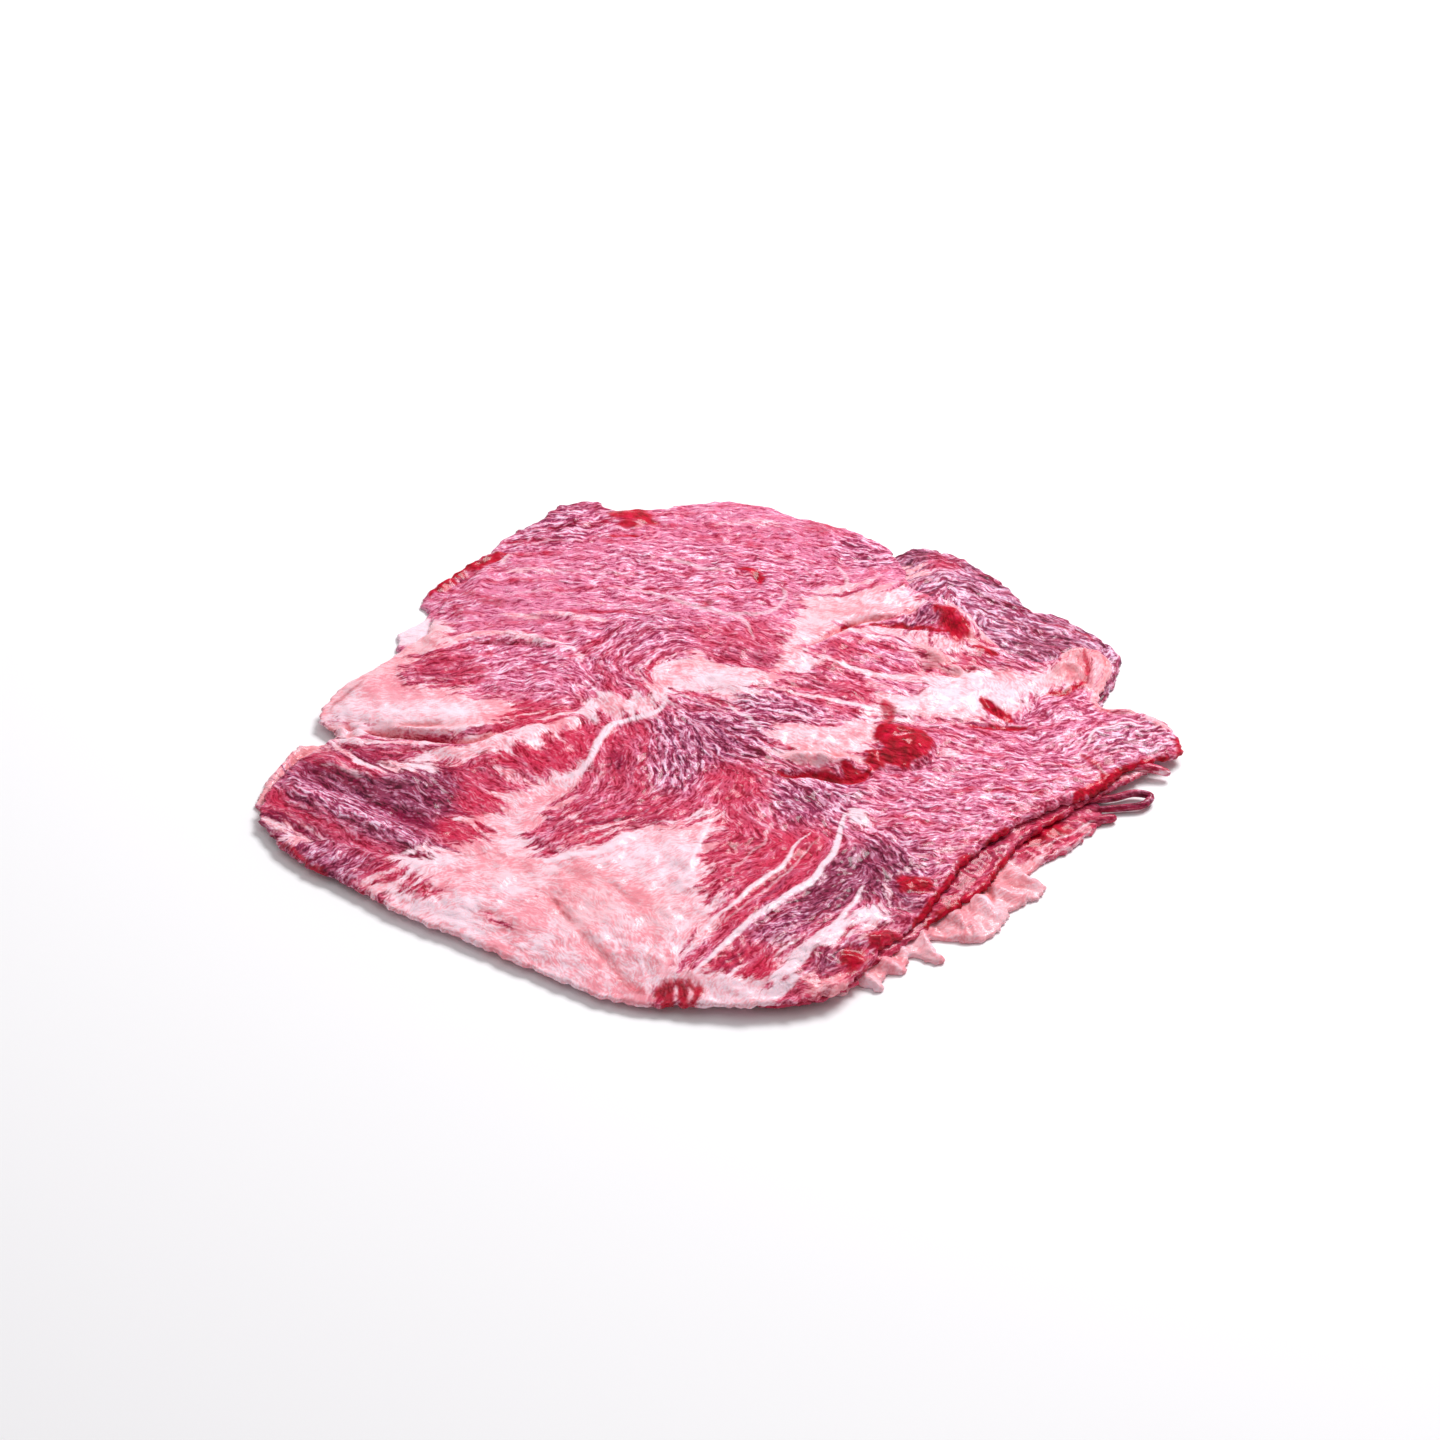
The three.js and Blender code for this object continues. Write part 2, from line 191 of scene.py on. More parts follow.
def curve_through(points: Array, step: float, closed: bool) -> Array:
    """A smooth curve through points.

    Args:
        points: Control points, one row each.
        step: Spacing of the points that are returned.
        closed: True for a loop.

    Returns:
        Points along the centripetal curve, evenly spaced.
    """
    count = len(points)
    if closed:
        ring = np.vstack([points[-1:], points, points[:2]])
        spans = count
    else:
        ring = np.vstack([2 * points[0] - points[1], points, 2 * points[-1] - points[-2]])
        spans = count - 1
    pieces = []
    share = np.linspace(0.0, 1.0, 24, endpoint=False)[:, None]
    for i in range(spans):
        p0, p1, p2, p3 = ring[i : i + 4]
        t1 = math.sqrt(np.linalg.norm(p1 - p0)) + 1e-9
        t2 = t1 + math.sqrt(np.linalg.norm(p2 - p1)) + 1e-9
        t3 = t2 + math.sqrt(np.linalg.norm(p3 - p2)) + 1e-9
        t = t1 + (t2 - t1) * share
        a1 = p0 * (t1 - t) / t1 + p1 * t / t1
        a2 = p1 * (t2 - t) / (t2 - t1) + p2 * (t - t1) / (t2 - t1)
        a3 = p2 * (t3 - t) / (t3 - t2) + p3 * (t - t2) / (t3 - t2)
        b1 = a1 * (t2 - t) / t2 + a2 * t / t2
        b2 = a2 * (t3 - t) / (t3 - t1) + a3 * (t - t1) / (t3 - t1)
        pieces.append(b1 * (t2 - t) / (t2 - t1) + b2 * (t - t1) / (t2 - t1))
    dense = np.vstack(pieces + [points[:1] if closed else points[-1:]])
    along = np.concatenate([[0.0], np.cumsum(np.linalg.norm(np.diff(dense, axis=0), axis=1))])
    total = along[-1]
    wanted = max(2, round(total / step))
    places = np.linspace(0.0, total, wanted if closed else wanted + 1, endpoint=not closed)
    return np.column_stack([np.interp(places, along, dense[:, k]) for k in range(dense.shape[1])])


def distance_to_path(x: Array, y: Array, path: Array) -> tuple[Array, Array]:
    """Distance of points from an open path.

    Args:
        x: Points' x.
        y: Points' y.
        path: The path's points.

    Returns:
        The distance, and how far along the path the nearest place is, from 0 to 1.
    """
    best = np.full(x.shape, 1e9)
    where = np.zeros(x.shape)
    lengths = np.linalg.norm(np.diff(path, axis=0), axis=1)
    total = lengths.sum()
    before = 0.0
    for a, b, length in zip(path[:-1], path[1:], lengths):
        d = b - a
        t = np.clip(((x - a[0]) * d[0] + (y - a[1]) * d[1]) / (length * length + 1e-12), 0.0, 1.0)
        reach = np.hypot(x - a[0] - t * d[0], y - a[1] - t * d[1])
        nearer = reach < best
        best = np.where(nearer, reach, best)
        where = np.where(nearer, (before + t * length) / total, where)
        before += length
    return best, where


def depth_inside(x: Array, y: Array, loop: Array) -> Array:
    """Distance from a closed loop, positive inside.

    Args:
        x: Points' x.
        y: Points' y.
        loop: The loop's points, the first not repeated.

    Returns:
        The signed distance.
    """
    best = np.full(x.shape, 1e18)
    inside = np.zeros(x.shape, bool)
    for a, b in zip(loop, np.roll(loop, -1, axis=0)):
        d = b - a
        t = np.clip(((x - a[0]) * d[0] + (y - a[1]) * d[1]) / (d @ d + 1e-12), 0.0, 1.0)
        reach = (x - a[0] - t * d[0]) ** 2 + (y - a[1] - t * d[1]) ** 2
        best = np.minimum(best, reach)
        if a[1] != b[1]:
            crossed = (a[1] > y) != (b[1] > y)
            inside ^= crossed & (x < d[0] * (y - a[1]) / d[1] + a[0])
    return np.where(inside, 1.0, -1.0) * np.sqrt(best)


@dataclass
class Ground:
    """A level raster that heights and levels are worked out on."""

    low: tuple[float, float]
    high: tuple[float, float]
    pitch: float
    x: Array = field(init=False)
    y: Array = field(init=False)

    def __post_init__(self) -> None:
        """Lays out the raster's points."""
        xs = np.arange(self.low[0], self.high[0], self.pitch)
        ys = np.arange(self.low[1], self.high[1], self.pitch)
        self.x, self.y = np.meshgrid(xs, ys)

    def sample(self, values: Array, x: Array, y: Array) -> Array:
        """Reads a raster between its points.

        Args:
            values: The raster.
            x: Places' x.
            y: Places' y.

        Returns:
            The values there, bilinear.
        """
        rows, columns = values.shape
        u = np.clip((x - self.low[0]) / self.pitch, 0.0, columns - 1.001)
        v = np.clip((y - self.low[1]) / self.pitch, 0.0, rows - 1.001)
        i = u.astype(int)
        j = v.astype(int)
        u = u - i
        v = v - j
        near = values[j, i] * (1 - u) + values[j, i + 1] * u
        far = values[j + 1, i] * (1 - u) + values[j + 1, i + 1] * u
        return near * (1 - v) + far * v

    def noise(self, length: float, seed: int, band: float = 0.45) -> Array:
        """Smooth noise with features of one size.

        Args:
            length: Wavelength of its features.
            seed: Seed of the random numbers.
            band: How widely the wavelengths spread.

        Returns:
            A raster with mean 0 and deviation 1.
        """
        white = np.random.default_rng(seed).standard_normal(self.x.shape)
        fy = np.fft.fftfreq(self.x.shape[0], self.pitch)[:, None]
        fx = np.fft.rfftfreq(self.x.shape[1], self.pitch)[None, :]
        ratio = np.hypot(fx, fy) * length
        kept = np.fft.irfft2(np.fft.rfft2(white) * np.exp(-(((ratio - 1.0) / band) ** 2)), s=self.x.shape)
        return (kept - kept.mean()) / kept.std()

    def blurred(self, values: Array, radius: float) -> Array:
        """Softens a raster.

        Args:
            values: The raster.
            radius: Radius of the round bell that softens it.

        Returns:
            The softened raster.
        """
        fy = np.fft.fftfreq(self.x.shape[0], self.pitch)[:, None]
        fx = np.fft.rfftfreq(self.x.shape[1], self.pitch)[None, :]
        bell = np.exp(-2.0 * (math.pi * radius * np.hypot(fx, fy)) ** 2)
        return np.fft.irfft2(np.fft.rfft2(values) * bell, s=self.x.shape)

    def window(self, low: Array, high: Array) -> tuple[slice, slice]:
        """Finds the part of the raster between two corners.

        Args:
            low: Lowest corner.
            high: Highest corner.

        Returns:
            Slices of its rows and columns.
        """
        rows, columns = self.x.shape
        i0, j0 = np.floor((np.asarray(low) - self.low) / self.pitch).astype(int)
        i1, j1 = np.ceil((np.asarray(high) - self.low) / self.pitch).astype(int)
        return slice(max(j0, 0), min(j1, rows)), slice(max(i0, 0), min(i1, columns))


@dataclass
class Grain:
    """The direction that the fibre bundles run in, and streaks drawn out along it."""

    ground: Ground
    stations: list[tuple[float, float, float]]
    wander: float = 0.22
    reach: float = 9.0
    longest: float = 9.0
    step: float = 0.42
    dx: Array = field(init=False)
    dy: Array = field(init=False)
    trails: list[tuple[float, Array]] = field(init=False)

    def __post_init__(self) -> None:
        """Blends the stations' directions, as double angles, and walks along them from every point."""
        x, y = self.ground.x, self.ground.y
        c = np.zeros(x.shape)
        s = np.zeros(x.shape)
        for sx, sy, degrees in self.stations:
            weight = 1.0 / ((x - sx) ** 2 + (y - sy) ** 2 + self.reach) ** 2
            c += weight * math.cos(2 * math.radians(degrees))
            s += weight * math.sin(2 * math.radians(degrees))
        angle = 0.5 * np.arctan2(s, c)
        angle += self.wander * (0.8 * self.ground.noise(9.0, 91) + 0.4 * self.ground.noise(4.0, 92))
        self.dx = np.cos(angle)
        self.dy = np.sin(angle)
        rows, columns = x.shape
        self.trails = []
        for way in (1.0, -1.0):
            px, py = x.copy(), y.copy()
            dx, dy = self.dx * way, self.dy * way
            for k in range(1, int(self.longest / self.step) + 1):
                px += dx * self.step
                py += dy * self.step
                column = np.clip((px - self.ground.low[0]) / self.ground.pitch + 0.5, 0, columns - 1)
                row = np.clip((py - self.ground.low[1]) / self.ground.pitch + 0.5, 0, rows - 1)
                spot = row.astype(np.int32) * columns + column.astype(np.int32)
                nx, ny = self.dx.ravel()[spot], self.dy.ravel()[spot]
                same = np.where(nx * dx + ny * dy < 0, -1.0, 1.0)
                dx, dy = nx * same, ny * same
                self.trails.append((k * self.step, spot))

    def smeared(self, source: Array, length: float) -> Array:
        """Smears a raster along the grain.

        Args:
            source: What is smeared.
            length: How far to each side.

        Returns:
            The smeared raster, as bright as before.
        """
        total = source.copy()
        weights = 1.0
        flat = source.ravel()
        for reach, spot in self.trails:
            if reach <= length:
                weight = math.exp(-((reach / length) ** 2) * 1.5)
                total += weight * flat[spot]
                weights += weight
        return total / weights

    def drawn_out(self, source: Array, length: float) -> Array:
        """Smears noise along the grain, and brings it back to mean 0 and deviation 1."""
        total = self.smeared(source, length)
        return (total - total.mean()) / total.std()


GRAIN_STATIONS = [
    # left lobes
    (-90, -20, -40), (-80, -20, -35), (-70, -22, -30), (-60, -22, -45), (-52, -22, -45), (-85, -35, -38),
    (-75, -38, -38), (-65, -40, -35), (-55, -38, -30), (-84, -48, 50), (-76, -52, 45), (-66, -56, 50),
    (-60, 15, 12), (-50, 12, 5), (-52, 22, 25), (-42, 5, 20), (-38, -8, -58), (-44, -14, -50), (-72, 2, 5),
    (-66, -10, 8), (-55, -12, 30),
    # far side
    (-45, 40, 3), (-30, 50, 0), (-20, 28, 45), (-25, 15, 118), (-10, 40, 170), (0, 50, 0), (15, 55, 170),
    (-30, 75, 5), (0, 78, 2), (20, 70, 160), (5, 32, -40), (6, 25, -25), (-50, 50, 10),
    # middle
    (-10, 0, 108), (-5, -3, 114), (0, -5, 124), (6, -7, 150), (9, -10, 160), (-5, 4, 160), (2, 3, 168),
    (-12, -12, 95), (-7, -15, 93), (-20, -10, 96), (-22, -20, 80), (10, 6, 165), (5, 11, 172),
    (-12, -24, 60), (-25, -33, 26), (-34, -38, 40), (-15, -30, 24), (0, -20, 65), (4, -45, 35),
    (8, -30, 120), (15, -22, 135), (22, -25, 122), (-8, -36, 20),
    # near side
    (25, -50, 50), (15, -62, 32), (4, -78, 52), (10, -78, 60), (20, -74, 55), (8, -58, 52), (-30, -60, -50),
    (-45, -60, -20), (-20, -75, -60), (-8, -87, 70), (18, -86, 30), (-36, -48, 20), (-12, -48, 30),
    # right
    (40, -30, 172), (35, -45, 112), (38, -54, 120), (55, -15, 3), (70, -14, 6), (70, -23, 165),
    (60, -4, 160), (75, 6, 30), (76, 0, 42), (88, 0, 15), (50, -30, 178), (48, -40, 10), (25, 18, -20),
    (27, 27, -25), (36, 25, -28), (20, 8, 160), (28, -22, 165), (45, -8, 150), (45, 42, 58), (50, 39, 100),
    (60, 28, 155), (60, 12, 100), (48, 12, 170), (35, 48, 35), (60, 47, 150), (75, 38, 155), (70, 50, 150),
    (80, 25, 80), (60, -42, 45), (50, -55, 55), (42, -56, 20), (70, -36, 40),
]


@dataclass
class Weave:
    """Noises over the layout plane that roughen the features, some of them drawn out along the grain."""

    ground: Ground
    grain: Grain
    wave_x: Array = field(init=False)
    wave_y: Array = field(init=False)
    tooth: Array = field(init=False)
    streaks: Array = field(init=False)
    bands: Array = field(init=False)
    blotches: Array = field(init=False)
    fibres: Array = field(init=False)

    def __post_init__(self) -> None:
        """Makes the noises once for all slices."""
        self.wave_x = self.ground.noise(6.0, 11)
        self.wave_y = self.ground.noise(6.0, 12)
        self.tooth = self.ground.noise(1.8, 13)
        self.streaks = self.grain.drawn_out(self.ground.noise(1.9, 14), 7.0)
        self.bands = self.grain.drawn_out(self.ground.noise(4.2, 15), 9.0)
        self.blotches = self.ground.noise(5.0, 16, 0.8)
        self.fibres = np.tanh(self.grain.drawn_out(self.ground.noise(1.5, 21, 0.3), 1.6))


@dataclass
class Marbling:
    """The levels of every kind over a slice's upper surface, on the layout plane."""

    weave: Weave
    shade: Shade
    features: list[Patch | Streak]
    ground: Ground = field(init=False)
    fields: dict[Kind, Array] = field(init=False)

    def __post_init__(self) -> None:
        """Starts every kind at its level."""
        self.ground = self.weave.ground
        start = self.shade.value
        self.fields = {kind: np.full(self.ground.x.shape, start.get(kind, 0.0)) for kind in Kind}

    def paint(self) -> None:
        """Lays the features down in order, then makes the lean uneven along its grain."""
        for feature in self.features:
            if isinstance(feature, Patch):
                self._patch(feature)
            else:
                self._streak(feature)
        weave, fields = self.weave, self.fields
        for kind, (radius, length, share) in SOFTENING.items():
            values = self.ground.blurred(fields[kind], radius)
            fields[kind] = lerp(values, weave.grain.smeared(values, length), share)
        lively = weave.bands * 0.6 + weave.blotches * 0.4
        milk = fields[Kind.MILK] * (1.0 + 0.5 * lively) + 0.2 * np.maximum(lively, 0.0)
        fields[Kind.MILK] = np.clip(milk, 0.0, 1.0)
        dark = fields[Kind.DARK] - 0.11 * weave.streaks - 0.10 * lively
        fields[Kind.DARK] = np.clip(dark, 0.0, 1.0)
        fat = np.clip(fields[Kind.FAT], 0.0, 1.0)
        fat = fat + 4 * fat * (1 - fat) * (0.22 * weave.streaks + 0.1 * weave.bands)
        marble = 0.4 * smooth(weave.streaks + 0.5 * weave.bands, 1.7, 3.0)
        fields[Kind.FAT] = np.clip(np.maximum(fat, marble), 0.0, 1.0)

    def soak_and_paint_shade(self, forms: Array) -> None:
        """Reddens the fat and darkens the lean in creases, partly as pooled juice and partly as painted
        shade, and pales the crests as a painted highlight.

        Args:
            forms: Height of the folds and lumps.
        """
        rise = forms - self.ground.blurred(forms, 1.3)
        hollow = smooth(-rise, 0.04, 0.42)
        crest = smooth(rise, 0.06, 0.5)
        fields = self.fields
        # painted shade in the hollows, partly pooled juice, and a painted highlight on the crests
        salmon = np.maximum(fields[Kind.SALMON], 0.9 * hollow)
        fields[Kind.SALMON] = np.clip(salmon - 0.35 * crest, 0.0, 1.0)
        fields[Kind.RED] = np.maximum(fields[Kind.RED], 0.34 * hollow * fields[Kind.FAT])
        fields[Kind.DARK] = np.clip(fields[Kind.DARK] + 0.3 * hollow - 0.08 * crest, 0.0, 1.0)
        fields[Kind.MILK] = np.clip(fields[Kind.MILK] + 0.35 * crest - 0.3 * hollow, 0.0, 1.0)

    def _patch(self, patch: Patch) -> None:
        """Fills one area, with a ragged core and a faint halo.

        Args:
            patch: The area.
        """
        loop = curve_through(np.array(patch.outline, float), 1.2, True)
        reach = 4.0 + 4.0 * patch.soft
        weave, ragged = self.weave, patch.ragged
        part = self.ground.window(loop.min(0) - reach, loop.max(0) + reach)
        x = self.ground.x[part] + 0.45 * ragged * weave.wave_x[part]
        y = self.ground.y[part] + 0.45 * ragged * weave.wave_y[part]
        depth = depth_inside(x, y, loop)
        bands = weave.bands[part]
        rough = ragged * (0.06 * weave.tooth[part] + 0.38 * weave.streaks[part] + 0.5 * bands)
        core = smooth(depth + rough, -patch.soft, patch.soft)
        halo = smooth(depth + 1.5 * rough + ragged * bands, -3.2 * patch.soft, 1.6 * patch.soft)
        self._lay(patch.shade, part, patch.share * (0.72 * core + 0.28 * halo))

    def _streak(self, streak: Streak) -> None:
        """Draws one line.

        Args:
            streak: The line.
        """
        path = curve_through(np.array(streak.path, float), 1.0, False)
        reach = 1.5 * streak.width + 3.0
        weave, ragged = self.weave, streak.ragged
        part = self.ground.window(path.min(0) - reach, path.max(0) + reach)
        x = self.ground.x[part] + 0.4 * ragged * weave.wave_x[part]
        y = self.ground.y[part] + 0.4 * ragged * weave.wave_y[part]
        distance, along = distance_to_path(x, y, path)
        taper = np.sqrt(np.clip(4 * along * (1 - along), 0.0, 1.0)) * 0.8 + 0.2
        half = 0.5 * streak.width * taper
        rough = ragged * (0.1 * weave.tooth[part] + 0.3 * weave.streaks[part])
        within = half - distance + rough * np.minimum(1.0, half)
        mask = smooth(within, -0.55 * half - 0.1, 0.45 * half + 0.1)
        self._lay(streak.shade, part, streak.share * mask)

    def _lay(self, shade: Shade, part: tuple[slice, slice], mask: Array) -> None:
        """Mixes a shade's levels into part of the fields, as far as the mask says."""
        for kind, level in shade.value.items():
            self.fields[kind][part] = lerp(self.fields[kind][part], level, mask)


def loop_of(outline: Path, raggedness: float, seed: int, step: float = 0.7) -> Array:
    """A slice's closed outline, roughened.

    Args:
        outline: Drawn points, clockwise seen from above.
        raggedness: Size of its waves.
        seed: Phase of its waves.
        step: Spacing of the points.

    Returns:
        The loop's points in the part's frame.
    """
    points = np.array(outline, float) - DRAWING_CENTRE
    loop = curve_through(points, step, True)
    tangent = np.roll(loop, -1, axis=0) - np.roll(loop, 1, axis=0)
    tangent /= np.linalg.norm(tangent, axis=1)[:, None]
    s = np.arange(len(loop)) * step
    wave = sum(size * np.sin(s * turn + seed * phase) for size, turn, phase in RIM_WAVES)
    rng = np.random.default_rng(seed)
    for length, size in RIM_TEETH:
        white = rng.standard_normal(len(loop))
        f = np.fft.rfftfreq(len(loop), step)
        fine = np.fft.irfft(np.fft.rfft(white) * np.exp(-(((f * length - 1.0) / 0.5) ** 2)), n=len(loop))
        wave = wave + size * fine / fine.std()
    shift = raggedness * wave
    return loop + np.column_stack([-tangent[:, 1], tangent[:, 0]]) * shift[:, None]


@dataclass
class Slice:
    """One slice: its outline, its height between the layers, its relief and its marbling."""

    name: str
    slot: str
    outline: Path
    raggedness: float
    seed: int
    shade: Shade
    features: list[Patch | Streak]
    folds: list[Fold] = field(default_factory=list)
    lumps: list[Lump] = field(default_factory=list)
    strands: list[Strand] = field(default_factory=list)
    pitch: float = 0.52
    loop: Array = field(init=False)
    depth: Array = field(init=False)
    underside: Array = field(init=False)
    top: Array = field(init=False)

    def __post_init__(self) -> None:
        """Roughens the outline."""
        self.loop = loop_of(self.outline, self.raggedness, self.seed)

    def drape(self, ground: Ground, below: Array) -> Array:
        """Lays the slice over what is below it.

        Args:
            ground: Raster of the heights.
            below: Height of what lies below.

        Returns:
            Height of the pile with this slice on it.
        """
        x, y = ground.x, ground.y
        self.depth = depth_inside(x, y, curve_through(self.loop, 2.0, True))
        uneven = 0.6 * np.sin(x * 0.071 + self.seed) * np.cos(y * 0.083 - self.seed)
        uneven += 0.4 * np.sin((x + y) * 0.13 + self.seed * 3)
        thick = SLICE_THICKNESS + THICKNESS_SWELL * uneven
        thick = thick * lerp(RIM_SHARE, 1.0, smooth(self.depth, 0.0, RIM_WIDTH))
        self.underside = below + np.minimum(LAYER_GAP, below)
        held = 1.0 - smooth(-self.depth, DRAPE_HOLD, DRAPE_HOLD + DRAPE_FALL)
        self.top = lerp(below, self.underside + thick, held)
        return self.top

    def relief(self, ground: Ground) -> Array:
        """Folds and lumps of the slice over the layout plane.

        Args:
            ground: Raster of the layout plane.

        Returns:
            Their height.
        """
        height = np.zeros(ground.x.shape)
        for fold in self.folds:
            path = curve_through(np.array(fold.path, float), 1.0, False)
            part = ground.window(path.min(0) - 3 * fold.width, path.max(0) + 3 * fold.width)
            distance, along = distance_to_path(ground.x[part], ground.y[part], path)
            taper = np.clip(4 * along * (1 - along), 0.0, 1.0) ** 0.6
            height[part] += fold.height * np.exp(-((distance / fold.width) ** 2)) * taper
        for lump in self.lumps:
            reach = 2.2 * max(lump.radii)
            centre = np.array(lump.centre)
            part = ground.window(centre - reach, centre + reach)
            c, s = math.cos(math.radians(lump.turn)), math.sin(math.radians(lump.turn))
            dx, dy = ground.x[part] - centre[0], ground.y[part] - centre[1]
            u = (dx * c + dy * s) / lump.radii[0]
            v = (-dx * s + dy * c) / lump.radii[1]
            height[part] += lump.height * np.exp(-((u * u + v * v) ** 1.3))
        return height


def mesh_object(name: str, points: Array, faces: Array, attributes: dict[str, Array]) -> bpy.types.Object:
    """Makes a mesh object in metres.

    Args:
        name: Its name.
        points: Its points in millimetres.
        faces: Its triangles.
        attributes: Numbers or vectors for each point.

    Returns:
        The object, linked to the scene and shaded smooth.
    """
    mesh = bpy.data.meshes.new(name)
    mesh.vertices.add(len(points))
    mesh.vertices.foreach_set("co", (points * METRES).astype(np.float32).ravel())
    mesh.loops.add(faces.size)
    mesh.loops.foreach_set("vertex_index", faces.astype(np.int32).ravel())
    mesh.polygons.add(len(faces))
    mesh.polygons.foreach_set("loop_start", np.arange(0, faces.size, 3, dtype=np.int32))
    mesh.polygons.foreach_set("use_smooth", np.ones(len(faces), bool))
    mesh.update(calc_edges=True)
    mesh.validate()
    for label, values in attributes.items():
        kind, slot = ("FLOAT", "value") if values.ndim == 1 else ("FLOAT_VECTOR", "vector")
        made = mesh.attributes.new(label, kind, "POINT")
        made.data.foreach_set(slot, values.astype(np.float32).ravel())
    made = bpy.data.objects.new(name, mesh)
    bpy.context.scene.collection.objects.link(made)
    return made


@dataclass
class Spinner:
    """Sweeps strands into closed tubes with Geometry Nodes."""

    finish: bpy.types.Material
    sides: int = 12
    spacing: float = 0.45

    def tree(self) -> bpy.types.NodeTree:
        """Builds the tree: a line of points becomes a curve, and the curve a tube.

        Returns:
            The node tree.
        """
        tree = bpy.data.node_groups.new("strand", "GeometryNodeTree")
        inputs = {"Line": "Geometry", "Radius": "Float", "Tip share": "Float", "Sides": "Int",
                  "Material": "Material"}
        for label, kind in inputs.items():
            tree.interface.new_socket(label, in_out="INPUT", socket_type=f"NodeSocket{kind}")
        tree.interface.new_socket("Tube", in_out="OUTPUT", socket_type="NodeSocketGeometry")
        new, link = tree.nodes.new, tree.links.new
        given = new("NodeGroupInput")
        out = new("NodeGroupOutput")
        curve = new("GeometryNodeMeshToCurve")
        along = new("GeometryNodeSplineParameter")
        taper = new("ShaderNodeFloatCurve")
        points = taper.mapping.curves[0].points
        points[0].location = (0.0, 0.0)
        points[1].location = (1.0, 0.0)
        for place, thickness in ((0.12, 0.8), (0.45, 1.0), (0.85, 0.85)):
            points.new(place, thickness)
        radius = new("ShaderNodeMath")
        radius.operation = "MULTIPLY"
        share = new("ShaderNodeMapRange")
        thick = new("GeometryNodeSetCurveRadius")
        circle = new("GeometryNodeCurvePrimitiveCircle")
        circle.inputs["Radius"].default_value = 1.0
        tube = new("GeometryNodeCurveToMesh")
        tube.inputs["Fill Caps"].default_value = True
        soft = new("GeometryNodeSetShadeSmooth")
        dress = new("GeometryNodeSetMaterial")
        real = new("GeometryNodeRealizeInstances")
        link(given.outputs["Line"], curve.inputs[0])
        link(along.outputs["Factor"], taper.inputs["Value"])
        link(taper.outputs[0], share.inputs["Value"])
        link(given.outputs["Tip share"], share.inputs["To Min"])
        link(share.outputs[0], radius.inputs[0])
        link(given.outputs["Radius"], radius.inputs[1])
        link(curve.outputs[0], thick.inputs["Curve"])
        link(radius.outputs[0], thick.inputs["Radius"])
        link(thick.outputs[0], tube.inputs["Curve"])
        link(given.outputs["Sides"], circle.inputs["Resolution"])
        link(circle.outputs[0], tube.inputs["Profile Curve"])
        link(radius.outputs[0], tube.inputs["Scale"])
        link(tube.outputs[0], soft.inputs[0])
        link(soft.outputs[0], real.inputs[0])
        link(real.outputs[0], dress.inputs["Geometry"])
        link(given.outputs["Material"], dress.inputs["Material"])
        link(dress.outputs[0], out.inputs[0])
        return tree

    def sweep(self, strand: Strand) -> tuple[Array, Array]:
        """Sweeps one strand.

        Args:
            strand: The strand.

        Returns:
            The tube's points in millimetres and its triangles.
        """
        path = curve_through(np.array(strand.path, float), self.spacing, False)
        line = bpy.data.meshes.new("line")
        line.from_pydata((path * METRES).tolist(), [(i, i + 1) for i in range(len(path) - 1)], [])
        carrier = bpy.data.objects.new("line", line)
        bpy.context.scene.collection.objects.link(carrier)
        modifier = carrier.modifiers.new("strand", "NODES")
        tree = self.tree()
        modifier.node_group = tree
        given = {"Radius": strand.radius * METRES, "Tip share": strand.tip, "Sides": self.sides,
                 "Material": self.finish}
        for item in tree.interface.items_tree:
            if item.name in given:
                modifier[item.identifier] = given[item.name]
        carrier.update_tag()
        bpy.context.view_layer.update()
        seen = carrier.evaluated_get(bpy.context.evaluated_depsgraph_get())
        mesh = bpy.data.meshes.new_from_object(seen)
        carrier.modifiers.remove(modifier)
        mesh.calc_loop_triangles()
        points = np.empty(len(mesh.vertices) * 3)
        mesh.vertices.foreach_get("co", points)
        faces = np.empty(len(mesh.loop_triangles) * 3, np.int32)
        mesh.loop_triangles.foreach_get("vertices", faces)
        bpy.data.objects.remove(carrier)
        bpy.data.meshes.remove(mesh)
        bpy.data.meshes.remove(line)
        bpy.data.node_groups.remove(tree)
        points = points.reshape(-1, 3) / METRES
        faces = faces.reshape(-1, 3)
        a, b, c = points[faces.T]
        volume = np.einsum("ij,ij->i", a, np.cross(b, c)).sum()
        return points, faces if volume > 0 else faces[:, ::-1]


def rounded(depth: Array, rim: float) -> Array:
    """Rise of a quarter round rim: 0 on the outline, 1 from the rim's width on."""
    return np.sqrt(np.clip(1.0 - (1.0 - np.minimum(depth / rim, 1.0)) ** 2, 0.0, 1.0))


def laid_out(points: Array, height: Array) -> tuple[Array, Array]:
    """Where points at a height show on the layout plane."""
    return points[:, 0], points[:, 1] + LAYOUT_SLOPE * (height - LAYOUT_HEIGHT)


